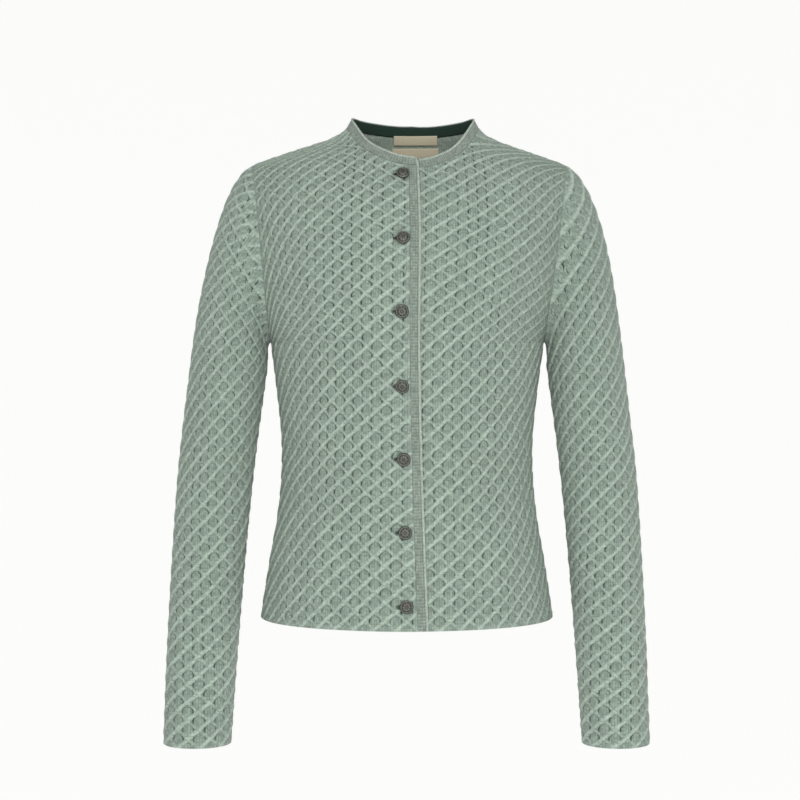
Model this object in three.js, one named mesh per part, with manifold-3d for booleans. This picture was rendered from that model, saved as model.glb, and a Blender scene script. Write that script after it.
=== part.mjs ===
// A women's knitted cardigan, buttoned up and filled out as if worn, with no wearer inside.
// Millimetres, +Z up, +X to the wearer's left, the front faces -Y. The origin lies between the
// shoulders, at the height of their middle.
//
// Each knitted panel is made flat, in the cloth's own measure: u runs across the knitting and v
// up it. There it gets its diagonal ribs and is cut to its outline. Then every point is laid on
// the worn shape, at its depth w under the outer face.
import * as THREE from "three";
import { mergeVertices } from "three/addons/utils/BufferGeometryUtils.js";
import Module from "manifold-3d";

const wasm = await Module();
wasm.setup();

// The cloth
const WALL = 1.5; // plain knitting under the ribs
const RIB_HEIGHT = 1.4;
const CLOTH = WALL + RIB_HEIGHT;
const LATTICE = 19.4; // width and height of one diamond of the knitted lattice
const SEAM_GAP = 0.3;
const TRIM = 0.28; // taken off each panel at a seam, with a little for the facets of its edge
const LAYER_GAP = 1.5; // between cloths that lie on each other

// The front closure, with u measured from the middle of the front: at heights v above the hem,
// the u of the upper front's edge and of the buttons
const CLOSURE = [
  { at: 0, edge: 19, button: 0 },
  { at: 130, edge: 15, button: -2.2 },
  { at: 270, edge: 12.2, button: -4.8 },
  { at: 505, edge: 8.8, button: -6 },
];
const OVERLAP = 28;
const OVERLAP_LIFT = CLOTH + LAYER_GAP; // the upper front lies this much further out
const LIFT_START = 78; // from the edge, where the upper front begins to rise
const LIFT_END = 34;
const BAND_WIDTH = 9.3;

// The buttons
const BUTTON_COUNT = 7;
const BUTTON_PITCH = 78;
const BUTTON_FROM_HEM = 25;
const BUTTON_RADIUS = 7.2;
const BUTTON_LIFT = 0.4; // over the cloth's ribs
const SHANK_RADIUS = 1.5;
const SHANK_GAP = 0.35; // between the shank and the under front
const BUTTONHOLE = { length: 11, width: 4.2 };

// The neck opening, an oval seen from above at the foot of the neckband
const NECK_X = 7;
const NECK_Y = 4;
const NECK_HALF_WIDTH = 73;
const NECK_FRONT = 68;
const NECK_BACK = 58;
const NECK_STAND = { height: 16, radius: 68, fade: 8.5, fadeFrom: -12, fadeTo: -50 };
const NECKBAND_HEIGHT = 10.4;
const NECKBAND_UPRIGHT = 0.25; // how much the band turns from the cloth's own slope to upright
const TAPE = { foot: 1, height: 9.2, thickness: 1 }; // its foot lies this far above the seam
const LABELS = [
  { name: "label_upper", left: -15, right: 35.8, top: 23.8, bottom: 14 },
  { name: "label_lower", left: -16.4, right: 37, top: 10.6, bottom: 0 },
];
const LABEL_THICKNESS = 1;

// Middle of the body from the front hem (0) over the shoulders (2) to the back hem (4). A row is
// the line across the body at that place: wrap is how far it turns to the side, 1 for a quarter
// of an oval, and drop is the power of its fall from the middle to the side.
const MIDDLE = [
  { at: 0.0, z: -518, y: -106, wrap: 1.0, drop: 2.0 },
  { at: 0.25, z: -451, y: -101, wrap: 1.0, drop: 2.0 },
  { at: 0.5, z: -383, y: -98, wrap: 1.0, drop: 2.0 },
  { at: 0.7, z: -318, y: -101, wrap: 1.0, drop: 2.0 },
  { at: 0.85, z: -266, y: -110, wrap: 1.0, drop: 2.0 },
  { at: 1.0, z: -217, y: -117, wrap: 1.0, drop: 2.0 },
  { at: 1.2, z: -166, y: -117, wrap: 0.95, drop: 1.9 },
  { at: 1.4, z: -115, y: -108, wrap: 0.85, drop: 1.8 },
  { at: 1.6, z: -66, y: -89, wrap: 0.75, drop: 1.6 },
  { at: 1.75, z: -31, y: -68, wrap: 0.65, drop: 1.4 },
  { at: 1.88, z: 2, y: -42, wrap: 0.57, drop: 1.2 },
  { at: 2.0, z: 37.8, y: 4, wrap: 0.5, drop: 1.0 },
  { at: 2.12, z: 31, y: 38, wrap: 0.57, drop: 1.2 },
  { at: 2.25, z: 13, y: 63, wrap: 0.65, drop: 1.4 },
  { at: 2.4, z: -24, y: 79, wrap: 0.75, drop: 1.6 },
  { at: 2.6, z: -84, y: 91, wrap: 0.85, drop: 1.8 },
  { at: 2.8, z: -148, y: 94, wrap: 0.95, drop: 1.9 },
  { at: 3.0, z: -212, y: 90, wrap: 1.0, drop: 2.0 },
  { at: 3.15, z: -264, y: 84, wrap: 1.0, drop: 2.0 },
  { at: 3.3, z: -318, y: 79, wrap: 1.0, drop: 2.0 },
  { at: 3.5, z: -383, y: 81, wrap: 1.0, drop: 2.0 },
  { at: 3.75, z: -451, y: 94, wrap: 1.0, drop: 2.0 },
  { at: 4.0, z: -517, y: 106, wrap: 1.0, drop: 2.0 },
];

// Side seam of the body, from the hem (0) to the underarm (1)
const SIDE = [
  { at: 0.0, z: -512, x: 161, y: 2 },
  { at: 0.25, z: -448, x: 151, y: 2 },
  { at: 0.4, z: -405, x: 143.5, y: 2 },
  { at: 0.55, z: -362, x: 139, y: 3 },
  { at: 0.7, z: -316, x: 138.6, y: 4 },
  { at: 0.85, z: -262, x: 144, y: 4 },
  { at: 1.0, z: -212, x: 150.5, y: 4 },
];

// The armhole, an upright oval that leans out towards the shoulder
const ARMHOLE = {
  bottom: -212,
  top: -16,
  halfDepth: 46,
  y: 4,
  xBottom: 150.5,
  xTop: 172,
  bend: 1.1, // power of the lean, 1 for a straight line
};

// Sleeve, from the biceps down to the cuff: the x of its two sides, half its depth, the y of its
// middle, and how much the knitting is stretched across
const SLEEVE = [
  { at: -649, outer: 266, inner: 191, halfDepth: 42, y: -16, stretch: 1.42 },
  { at: -572, outer: 264, inner: 186, halfDepth: 44.5, y: -10, stretch: 1.36 },
  { at: -450, outer: 258.5, inner: 177, halfDepth: 48, y: -2, stretch: 1.2 },
  { at: -345, outer: 251.5, inner: 167, halfDepth: 52, y: 2, stretch: 1.06 },
  { at: -240, outer: 239.5, inner: 153.5, halfDepth: 56, y: 3, stretch: 1.0 },
];
const CUFF_Z = SLEEVE[0].at;
const BICEPS_Z = SLEEVE[4].at;
const SLEEVE_HEAD = { outward: 0.75, along: 0.4, start: 0.56, end: 1.03, foot: 0.97 * Math.PI };

// The body stands a little to one side, more so at the neck
const LEAN = [
  { at: -650, x: 0 },
  { at: -400, x: 0.5 },
  { at: -200, x: 1 },
  { at: -90, x: 3.2 },
  { at: -20, x: 3 },
  { at: 5, x: 3.5 },
  { at: 25, x: 7 },
  { at: 45, x: 7 },
];

// Faces along each edge
const FACES = {
  side: 16,
  armhole: 8,
  shoulder: 9,
  closure: 18,
  neckFront: 12,
  neckBack: 16,
  sleeveSide: 22,
  sleeveHead: 24,
  band: 26,
  label: 6,
  button: 12,
};
const BODY_STEP = 34; // length of one face along a rib
const SLEEVE_STEP = 20;

// Samples from which the lengths of curves are measured, and the step for a direction
const ROW_STEPS = 160;
const ROW_SAMPLES = 24;
const MIDDLE_SAMPLES = 120;
const HEAD_SAMPLES = 16;
const SAMPLE_STEP = 0.5;
const ROUNDS = 30; // to find a place on a curve or face

// A value of a table between its rows, on a smooth curve through them
function smooth(rows, column, at) {
  const last = rows.length - 1;
  let i = 0;
  while (i < last - 1 && at > rows[i + 1].at) i += 1;
  const slope = (k) => {
    const before = rows[Math.max(k - 1, 0)];
    const after = rows[Math.min(k + 1, last)];
    return (after[column] - before[column]) / (after.at - before.at);
  };
  const [low, high] = [rows[i], rows[i + 1]];
  const span = high.at - low.at;
  const f = Math.min(Math.max((at - low.at) / span, 0), 1);
  return hermite(low[column], high[column], slope(i) * span, slope(i + 1) * span, f);
}

function hermite(from, to, leaving, arriving, f) {
  const g = 1 - f;
  return (
    from * (1 + 2 * f) * g * g +
    to * (3 - 2 * f) * f * f +
    leaving * f * g * g -
    arriving * f * f * g
  );
}

const blend = (from, to, value) => THREE.MathUtils.smoothstep(value, from, to);

// Lengths along a curve at even steps of its parameter, and the parameter at a length
function measure(curve, from, to, steps) {
  const lengths = [0];
  let last = curve(from);
  for (let i = 1; i <= steps; i += 1) {
    const next = curve(from + ((to - from) * i) / steps);
    lengths.push(lengths[i - 1] + next.distanceTo(last));
    last = next;
  }
  const total = lengths[steps];
  const parameter = (length) => {
    let i = 0;
    while (i < steps - 1 && length > lengths[i + 1]) i += 1;
    const f = (length - lengths[i]) / (lengths[i + 1] - lengths[i]);
    return from + ((to - from) * (i + f)) / steps;
  };
  return { total, parameter };
}

// The point of the armhole at an angle from its top (0) by its front (90 degrees) to its bottom
function armholePoint(angle) {
  const { bottom, top, halfDepth, xBottom, xTop, bend } = ARMHOLE;
  const z = (top + bottom) / 2 + ((top - bottom) / 2) * Math.cos(angle);
  const x = xBottom + (xTop - xBottom) * ((z - bottom) / (top - bottom)) ** bend;
  return new THREE.Vector3(x, ARMHOLE.y - halfDepth * Math.sin(angle), z);
}

const lean = (point) => point.setX(point.x + smooth(LEAN, "x", point.z));

// The point of the body's outer face at a row, and s from the middle (0) to its side (1 or -1)
function bodyPoint(s, at) {
  const side = new THREE.Vector3();
  if (at > 1 && at < 3) {
    side.copy(armholePoint((2 - at) * Math.PI));
  } else {
    const row = Math.min(at, 4 - at);
    side.set(smooth(SIDE, "x", row), smooth(SIDE, "y", row), smooth(SIDE, "z", row));
  }
  const across = Math.abs(s);
  const turn = (smooth(MIDDLE, "wrap", at) * Math.PI) / 2;
  const y = smooth(MIDDLE, "y", at);
  const z = smooth(MIDDLE, "z", at);
  const round = (1 - Math.cos(across * turn)) / (1 - Math.cos(turn));
  const point = new THREE.Vector3(
    (Math.sign(s) * side.x * Math.sin(across * turn)) / Math.sin(turn),
    y + (side.y - y) * round,
    z + (side.z - z) * across ** smooth(MIDDLE, "drop", at),
  );
  lean(point);
  // the cloth rises round the neck, at its sides and back
  const depth = point.y < NECK_Y ? NECK_FRONT : NECK_BACK;
  const reach = Math.hypot((point.x - NECK_X) / NECK_HALF_WIDTH, (point.y - NECK_Y) / depth);
  const past = Math.max(reach * NECK_HALF_WIDTH - NECK_STAND.radius, 0);
  const rise = NECK_STAND.height * Math.exp(-past / NECK_STAND.fade);
  point.z += rise * blend(NECK_STAND.fadeTo, NECK_STAND.fadeFrom, point.y);
  return point;
}

// Half the length of each row, from the middle to the side
const rowLengths = Array.from(
  { length: ROW_STEPS + 1 },
  (_, i) => measure((s) => bodyPoint(s, (4 * i) / ROW_STEPS), 0, 1, ROW_SAMPLES).total,
);
function rowLength(at) {
  const place = (THREE.MathUtils.clamp(at, 0, 4) / 4) * ROW_STEPS;
  const i = Math.min(Math.floor(place), ROW_STEPS - 1);
  return THREE.MathUtils.lerp(rowLengths[i], rowLengths[i + 1], place - i);
}

const frontMiddle = measure((at) => bodyPoint(0, at), 0, 2, MIDDLE_SAMPLES);
const backMiddle = measure((at) => bodyPoint(0, at), 4, 2, MIDDLE_SAMPLES);
const frontRow = (v) => frontMiddle.parameter(v);
const backRow = (v) => backMiddle.parameter(v);

const frontEdge = (v) => smooth(CLOSURE, "edge", v);

// Outer faces, as points of (u, v). Seen from outside u runs to the right.
const frontFace = (u, v) => bodyPoint(u / rowLength(frontRow(v)), frontRow(v));
const backFace = (u, v) => bodyPoint(-u / rowLength(backRow(v)), backRow(v));

function faceNormal(face, u, v) {
  const across = face(u + SAMPLE_STEP, v).sub(face(u - SAMPLE_STEP, v));
  const up = face(u, v + SAMPLE_STEP).sub(face(u, v - SAMPLE_STEP));
  return across.cross(up).normalize();
}

// The sleeve on one side (1 or -1), from the armhole (0) to the biceps (1) and the cuff (2), at
// an angle from its outer line (0) by the front (90 degrees) to its inner line (180 degrees)
function ringPoint(angle, z) {
  const outer = smooth(SLEEVE, "outer", z);
  const inner = smooth(SLEEVE, "inner", z);
  const middle = (outer + inner) / 2;
  const x = middle + ((outer - inner) / 2) * Math.cos(angle);
  const y = smooth(SLEEVE, "y", z) - smooth(SLEEVE, "halfDepth", z) * Math.sin(angle);
  return new THREE.Vector3(x, y, z);
}

function sleevePoint(hand, angle, at) {
  let point;
  if (at >= 1) {
    point = ringPoint(angle, BICEPS_Z + (CUFF_Z - BICEPS_Z) * (at - 1));
  } else {
    const start = armholePoint(angle);
    const end = ringPoint(angle, BICEPS_Z);
    const span = start.distanceTo(end);
    const leaving = end.clone().sub(start).multiplyScalar(SLEEVE_HEAD.along / span);
    leaving.x += SLEEVE_HEAD.outward;
    leaving.normalize().multiplyScalar(SLEEVE_HEAD.start * span);
    const arriving = ringPoint(angle, BICEPS_Z - 1).sub(end).normalize();
    arriving.multiplyScalar(SLEEVE_HEAD.end * span);
    point = new THREE.Vector3();
    for (const axis of ["x", "y", "z"])
      point[axis] = hermite(start[axis], end[axis], leaving[axis], arriving[axis], at);
  }
  point.x *= hand;
  return lean(point);
}

const TUBE = BICEPS_Z - CUFF_Z; // length of the sleeve from cuff to biceps
const sleeveStretch = (v) => smooth(SLEEVE, "stretch", CUFF_Z + Math.min(v, TUBE));
function sleeveRadius(v) {
  const z = CUFF_Z + THREE.MathUtils.clamp(v, 0, TUBE);
  const halfWidth = (smooth(SLEEVE, "outer", z) - smooth(SLEEVE, "inner", z)) / 2;
  return (halfWidth + smooth(SLEEVE, "halfDepth", z)) / 2;
}
const sleeveHalfWidth = (v) => (Math.PI * sleeveRadius(v)) / sleeveStretch(v);
const headColumn = (hand, angle) =>
  measure((at) => sleevePoint(hand, angle, at), 1, 0, HEAD_SAMPLES);

function sleeveFace(hand) {
  return (u, v) => {
    const angle = (-hand * u * sleeveStretch(v)) / sleeveRadius(v);
    if (v <= TUBE) return sleevePoint(hand, angle, 2 - v / TUBE);
    return sleevePoint(hand, angle, headColumn(hand, angle).parameter(v - TUBE));
  };
}

// At the armhole the walls of body and sleeve end on one shared direction
function armholeNormal(hand, angle) {
  const at = 2 - angle / Math.PI;
  const nudge = 0.004;
  const face = (s, row) => bodyPoint(hand * s, row);
  const up = face(1, at + nudge).sub(face(1, at - nudge));
  const body = face(1, at).sub(face(1 - nudge, at)).cross(up).multiplyScalar(hand);
  const round = sleevePoint(hand, angle + nudge, 0).sub(sleevePoint(hand, angle - nudge, 0));
  const down = sleevePoint(hand, angle, nudge).sub(sleevePoint(hand, angle, 0));
  const sleeve = round.cross(down).multiplyScalar(hand);
  return body.normalize().add(sleeve.normalize()).normalize();
}

const SEAM_BLEND = 14; // over this width the wall turns to the seam's own direction
const ROW_HEIGHT = 235; // of one step of the body's rows below the underarm

// A panel's wall: the point at (u, v), w out from the outer face
function bodyWall(face, row, lift) {
  return (u, v, w) => {
    const at = row(v);
    const hand = Math.sign(face(u, v).x - NECK_X) || 1;
    const toEdge = rowLength(at) - Math.abs(u);
    const below = Math.max(1 - at, at - 3, 0) * ROW_HEIGHT;
    const distance = Math.hypot(toEdge, below);
    const normal = faceNormal(face, u, v);
    if (distance < SEAM_BLEND) {
      const angle = (2 - THREE.MathUtils.clamp(at, 1, 3)) * Math.PI;
      normal.lerp(armholeNormal(hand, angle), 1 - distance / SEAM_BLEND).normalize();
    }
    return face(u, v).addScaledVector(normal, w + lift(u, v));
  };
}

function sleeveWall(hand) {
  const face = sleeveFace(hand);
  return (u, v, w) => {
    const normal = faceNormal(face, u, v);
    const angle = (-hand * u * sleeveStretch(v)) / sleeveRadius(v);
    const toEdge = v < TUBE ? Infinity : headColumn(hand, angle).total - (v - TUBE);
    if (toEdge < SEAM_BLEND) {
      const turned = THREE.MathUtils.clamp(angle, -Math.PI, Math.PI);
      normal.lerp(armholeNormal(hand, turned), 1 - toEdge / SEAM_BLEND).normalize();
    }
    return face(u, v).addScaledVector(normal, w);
  };
}

const flat = () => 0;
const overlapLift = (u, v) =>
  OVERLAP_LIFT * blend(frontEdge(v) - LIFT_START, frontEdge(v) - LIFT_END, u);
const rightWall = bodyWall(frontFace, frontRow, overlapLift);
const leftWall = bodyWall(frontFace, frontRow, flat);
const backWall = bodyWall(backFace, backRow, flat);

// Solids
function solidOf(geometry) {
  geometry.deleteAttribute("normal");
  geometry.deleteAttribute("uv");
  const merged = mergeVertices(geometry, 1e-4);
  return new wasm.Manifold(
    new wasm.Mesh({
      numProp: 3,
      vertProperties: merged.attributes.position.array,
      triVerts: new Uint32Array(merged.index.array),
    }),
  );
}

function geometryOf(points, triangles) {
  const geometry = new THREE.BufferGeometry();
  geometry.setAttribute("position", new THREE.Float32BufferAttribute(points, 3));
  geometry.setIndex(triangles);
  return geometry;
}

// A slab of knitting with ribs from lower left to upper right, big enough for the outline. While
// it is flat it is bent to a shallow bowl, so that no two of its faces lie in one plane.
const BOWL_RADIUS = 2000;
const bowl = (u, v) => (u * u + v * v) / (2 * BOWL_RADIUS);

function ribbedSlab(box, step) {
  const pitch = LATTICE / Math.SQRT2 / 2; // from crest to valley
  const corners = [
    [box.min.x, box.min.y],
    [box.min.x, box.max.y],
    [box.max.x, box.min.y],
    [box.max.x, box.max.y],
  ];
  const acrossRib = corners.map(([u, v]) => (v - u) / Math.SQRT2);
  const alongRib = corners.map(([u, v]) => (v + u) / Math.SQRT2);
  const firstRow = 4 * Math.floor(Math.min(...acrossRib) / pitch / 4) - 4;
  const rows = 4 * Math.ceil((Math.max(...acrossRib) / pitch - firstRow) / 4) + 4;
  const start = Math.min(...alongRib) - step;
  const columns = Math.ceil((Math.max(...alongRib) - start) / step) + 1;
  const points = [];
  const add = (row, column, w) => {
    const across = (firstRow + row) * pitch;
    const along = start + column * step;
    const u = (along - across) / Math.SQRT2;
    const v = (along + across) / Math.SQRT2;
    points.push(u, v, w + bowl(u, v));
    return points.length / 3 - 1;
  };
  const top = [];
  const under = [];
  for (let row = 0; row <= rows; row += 1) {
    top.push([]);
    for (let column = 0; column <= columns; column += 1)
      top[row].push(add(row, column, row % 2 ? 0 : -RIB_HEIGHT));
  }
  for (let row = 0; row <= rows; row += 4) {
    under.push([]);
    for (let column = 0; column <= columns; column += 1)
      under[row / 4].push(add(row, column, -CLOTH));
  }
  const triangles = [];
  const quad = (a, b, c, d) => triangles.push(a, b, c, a, c, d);
  for (let column = 0; column < columns; column += 1) {
    const next = column + 1;
    for (let row = 0; row < rows; row += 1)
      quad(top[row][column], top[row][next], top[row + 1][next], top[row + 1][column]);
    for (let row = 0; row < rows / 4; row += 1)
      quad(under[row][column], under[row + 1][column], under[row + 1][next], under[row][next]);
    quad(under[0][column], under[0][next], top[0][next], top[0][column]);
    quad(top[rows][column], top[rows][next], under[rows / 4][next], under[rows / 4][column]);
  }
  for (let row = 0; row < rows / 4; row += 1) {
    for (const [column, turn] of [
      [0, false],
      [columns, true],
    ]) {
      const low = under[row][column];
      const edge = [0, 1, 2, 3, 4].map((k) => top[4 * row + k][column]);
      const fan = [[low, edge[4], under[row + 1][column]]];
      for (let k = 0; k < 4; k += 1) fan.push([low, edge[k], edge[k + 1]]);
      for (const [a, b, c] of fan) turn ? triangles.push(a, c, b) : triangles.push(a, b, c);
    }
  }
  return geometryOf(points, triangles);
}

// A prism over a flat outline, tall enough to cut the slab
const PRISM = { foot: -10, top: bowl(300, 800) + 10 };

function prism(outline) {
  const depth = PRISM.top - PRISM.foot;
  const solid = new THREE.ExtrudeGeometry(new THREE.Shape(outline), { depth, bevelEnabled: false });
  return solidOf(solid.translate(0, 0, PRISM.foot));
}

// A ribbed panel: the slab cut to its outline and holes, then laid on its wall
function knitPanel(outline, holes, wall, step) {
  const box = new THREE.Box2().setFromPoints(outline);
  let panel = solidOf(ribbedSlab(box, step)).intersect(prism(outline));
  for (const hole of holes) panel = panel.subtract(prism(hole));
  const { vertProperties, triVerts } = panel.getMesh();
  const points = [];
  for (let i = 0; i < vertProperties.length; i += 3) {
    const [u, v, w] = vertProperties.slice(i, i + 3);
    points.push(...wall(u, v, w - bowl(u, v)).toArray());
  }
  return geometryOf(points, Array.from(triVerts));
}

// A closed strip through stations, each of them one outline of points
function loft(stations) {
  const count = stations[0].length;
  const points = stations.flat().flatMap((point) => point.toArray());
  const triangles = [];
  for (let i = 0; i < stations.length - 1; i += 1)
    for (let k = 0; k < count; k += 1) {
      const [a, b] = [i * count + k, i * count + ((k + 1) % count)];
      triangles.push(a, b, b + count, a, b + count, a + count);
    }
  const end = (stations.length - 1) * count;
  for (let k = 1; k < count - 1; k += 1) {
    triangles.push(0, k + 1, k);
    triangles.push(end, end + k, end + k + 1);
  }
  return geometryOf(points, triangles);
}

// Outlines of the panels in (u, v)
const vector = (u, v) => new THREE.Vector2(u, v);
const steps = (from, to, count) =>
  Array.from({ length: count + 1 }, (_, i) => from + ((to - from) * i) / count);

// The place (u, v) of a face where a point's coordinates on two axes have the values of goal,
// found from a guess by steps of at most MAX_MOVE
const MAX_MOVE = 15;

function placeOf(face, goal, guess) {
  const [p, q] = Object.keys(goal);
  const place = guess.clone();
  const limit = (move) => THREE.MathUtils.clamp(move, -MAX_MOVE, MAX_MOVE);
  for (let round = 0; round < ROUNDS; round += 1) {
    const here = face(place.x, place.y);
    const du = face(place.x + SAMPLE_STEP, place.y).sub(here).divideScalar(SAMPLE_STEP);
    const dv = face(place.x, place.y + SAMPLE_STEP).sub(here).divideScalar(SAMPLE_STEP);
    const size = du[p] * dv[q] - du[q] * dv[p];
    const [missP, missQ] = [goal[p] - here[p], goal[q] - here[q]];
    place.x += limit((missP * dv[q] - missQ * dv[p]) / size);
    place.y += limit((missQ * du[p] - missP * du[q]) / size);
  }
  return place;
}

// The foot of the neckband, turning from the middle front (0) to the shoulders (90 degrees)
function neckSeam(face, turns, guess) {
  const places = [];
  for (const turn of turns) {
    const depth = Math.cos(turn) > 0 ? NECK_FRONT : NECK_BACK;
    const x = NECK_X + NECK_HALF_WIDTH * Math.sin(turn);
    guess = placeOf(face, { x, y: NECK_Y - depth * Math.cos(turn) }, guess);
    places.push(guess);
  }
  return places;
}

const FRONT_HEIGHT = frontMiddle.total;
const BACK_HEIGHT = backMiddle.total;
const middleNeck = placeOf(
  frontFace,
  { x: NECK_X, y: NECK_Y - NECK_FRONT },
  vector(0, FRONT_HEIGHT - 110),
);
const neckTurn = (u) => Math.asin((frontFace(u, middleNeck.y).x - NECK_X) / NECK_HALF_WIDTH);
const overTurn = neckTurn(frontEdge(middleNeck.y));
const underTurn = neckTurn(frontEdge(middleNeck.y) - OVERLAP);
const QUARTER = Math.PI / 2;
const neckRight = neckSeam(frontFace, steps(overTurn, -QUARTER, FACES.neckFront), middleNeck);
const neckLeft = neckSeam(frontFace, steps(underTurn, QUARTER, FACES.neckFront), middleNeck);
const neckBack = neckSeam(
  backFace,
  steps(-QUARTER, -3 * QUARTER, FACES.neckBack),
  vector(NECK_HALF_WIDTH, BACK_HEIGHT - 5),
);

// The side of a panel from the hem to the shoulder, on the side of u given by hand
function sideEdge(hand, middle, rowAt, backwards) {
  const rows = [
    ...steps(0, 0.96, FACES.side),
    ...steps(1, 1.3, FACES.armhole),
    ...steps(1.35, 2, FACES.shoulder),
  ];
  return rows.map((row) => {
    const at = backwards ? 4 - row : row;
    const v = row === 2 ? middle.total : lengthAtRow(middle, rowAt, at);
    return vector(hand * (rowLength(at) - TRIM), v - (row === 2 ? TRIM : 0));
  });
}

function lengthAtRow(middle, rowAt, at) {
  let [low, high] = [0, middle.total];
  const rising = rowAt(high) > rowAt(low);
  for (let round = 0; round < ROUNDS; round += 1) {
    const half = (low + high) / 2;
    if (rowAt(half) < at === rising) low = half;
    else high = half;
  }
  return (low + high) / 2;
}

// A line of places moved to its left by a gap
function aside(places, gap) {
  return places.map((place, i) => {
    const before = places[Math.max(i - 1, 0)];
    const after = places[Math.min(i + 1, places.length - 1)];
    const along = after.clone().sub(before).normalize();
    return vector(place.x - along.y * gap, place.y + along.x * gap);
  });
}

// The height v of the neck seam at a u near the middle front
function neckHeight(neck, u) {
  const falling = neck[1].x < neck[0].x;
  const next = neck.findIndex((place) => (falling ? place.x < u : place.x > u));
  const [a, b] = [neck[Math.max(next, 1) - 1], neck[Math.max(next, 1)]];
  return a.y + ((b.y - a.y) * (u - a.x)) / (b.x - a.x);
}

// A front, from its hem to its neck; inner is the u of its long edge
const CORNER = 1.5; // the neck curve ends this far from the long edge

function frontOutline(hand, neck, inner) {
  const side = sideEdge(hand, frontMiddle, frontRow, false);
  const neckDown = aside(neck, -hand * SEAM_GAP).reverse();
  neckDown[0].y = side[side.length - 1].y;
  const top = neckHeight(neck, inner(neck[0].y)) - SEAM_GAP;
  const edge = steps(top, 0, FACES.closure).map((v) => vector(inner(v), v));
  const curve = neckDown.filter((place) => hand * (place.x - inner(place.y)) > CORNER);
  return [...side, ...curve, ...edge];
}

const overInner = (v) => frontEdge(v) - BAND_WIDTH - SEAM_GAP;
const underInner = (v) => frontEdge(v) - OVERLAP + BAND_WIDTH + SEAM_GAP;
const outlineRight = frontOutline(-1, neckRight, overInner);
const outlineLeft = frontOutline(1, neckLeft, underInner);
const backSide = sideEdge(1, backMiddle, backRow, true);
const backNeck = aside(neckBack, 2 * TRIM);
for (const place of [backNeck[0], backNeck[backNeck.length - 1]])
  place.y = backSide[backSide.length - 1].y;
const outlineBack = [
  ...backSide,
  ...backNeck,
  ...backSide.map((place) => vector(-place.x, place.y)).reverse(),
];

function sleeveOutline() {
  const up = steps(0, TUBE + headColumn(1, Math.PI).total - 2 * TRIM, FACES.sleeveSide);
  const side = up.map((v) => vector(sleeveHalfWidth(v) - TRIM, v));
  const head = steps(SLEEVE_HEAD.foot, 0, FACES.sleeveHead).map((angle) => {
    const v = TUBE + headColumn(1, angle).total - 2 * TRIM;
    return vector(angle * sleeveRadius(v), v);
  });
  const half = [...side, ...head];
  const mirrored = half.map((place) => vector(-place.x, place.y)).reverse();
  return [...half, ...mirrored.slice(1)];
}

// The buttonholes lie across the upper front, from each button away from the edge
const buttons = Array.from({ length: BUTTON_COUNT }, (_, i) => {
  const v = BUTTON_FROM_HEM + i * BUTTON_PITCH;
  return vector(smooth(CLOSURE, "button", v), v);
});
const buttonholes = buttons.map(({ x, y }) => {
  const radius = BUTTONHOLE.width / 2;
  const half = BUTTONHOLE.length / 2;
  const end = (u, from) =>
    steps(from, from + Math.PI, 4).map((a) =>
      vector(u + radius * Math.cos(a), y + radius * Math.sin(a)),
    );
  const middle = x - half + radius;
  return [
    ...end(middle + half - radius, -QUARTER),
    ...end(middle - half + radius, QUARTER),
  ].reverse();
});

// Section of a band, from its seam (h = 0) to its cord-like edge
const BAND = [
  { h: 0, w: -CLOTH },
  { h: 0, w: -0.8 },
  { h: 0.79, w: -0.8 },
  { h: 0.83, w: 0 },
  { h: 0.95, w: 0 },
  { h: 1, w: -1.3 },
  { h: 0.95, w: -CLOTH + 0.2 },
  { h: 0.8, w: -CLOTH + 0.2 },
];

function frontBand(wall, neck, inner, hand) {
  const stations = steps(0, 1, FACES.band).map((f) =>
    BAND.map(({ h, w }) => {
      const across = hand * (SEAM_GAP + h * BAND_WIDTH);
      const v = f * (neckHeight(neck, inner(neck[0].y) + across) - SEAM_GAP);
      return wall(inner(v) + across, v, w);
    }),
  );
  return loft(hand > 0 ? stations : stations.reverse());
}

// Stations round the neck, from the end on top by the back to the end beneath
function neckStations() {
  const stations = [];
  const take = (wall, places) => {
    for (const place of places) {
      const point = wall(place.x, place.y, 0);
      const normal = wall(place.x, place.y, 1).sub(point);
      stations.push({ point, normal });
    }
  };
  take(rightWall, neckRight);
  take(backWall, neckBack.slice(1, -1));
  take(leftWall, [...neckLeft].reverse());
  stations.forEach((station, i) => {
    const before = stations[Math.max(i - 1, 0)].point;
    const after = stations[Math.min(i + 1, stations.length - 1)].point;
    const along = after.clone().sub(before).normalize();
    station.rise = along.clone().cross(station.normal).normalize();
    station.rise.z += NECKBAND_UPRIGHT;
    station.rise.normalize();
    station.out = station.rise.clone().cross(along).normalize();
  });
  return stations;
}

const neck = neckStations();

function neckPoint({ point, normal, rise, out }, height, w) {
  const turned = normal.clone().lerp(out, Math.min(height / NECKBAND_HEIGHT, 1)).normalize();
  return point.clone().addScaledVector(rise, height).addScaledVector(turned, w);
}

function neckbandGeometry() {
  const stations = neck.map((station) =>
    BAND.map(({ h, w }) => neckPoint(station, SEAM_GAP + h * NECKBAND_HEIGHT, w)),
  );
  return loft(stations);
}

// The tape lies inside the band, from shoulder to shoulder round the back
function neckTapeGeometry() {
  const first = neckRight.length - 2;
  const last = neckRight.length + neckBack.length - 2;
  const near = -CLOTH - SEAM_GAP;
  const stations = neck.slice(first, last).map((station) =>
    [
      [TAPE.foot, near],
      [TAPE.foot + TAPE.height, near],
      [TAPE.foot + TAPE.height, near - TAPE.thickness],
      [TAPE.foot, near - TAPE.thickness],
    ].map(([height, w]) => neckPoint(station, height, w)),
  );
  return loft(stations);
}

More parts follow.
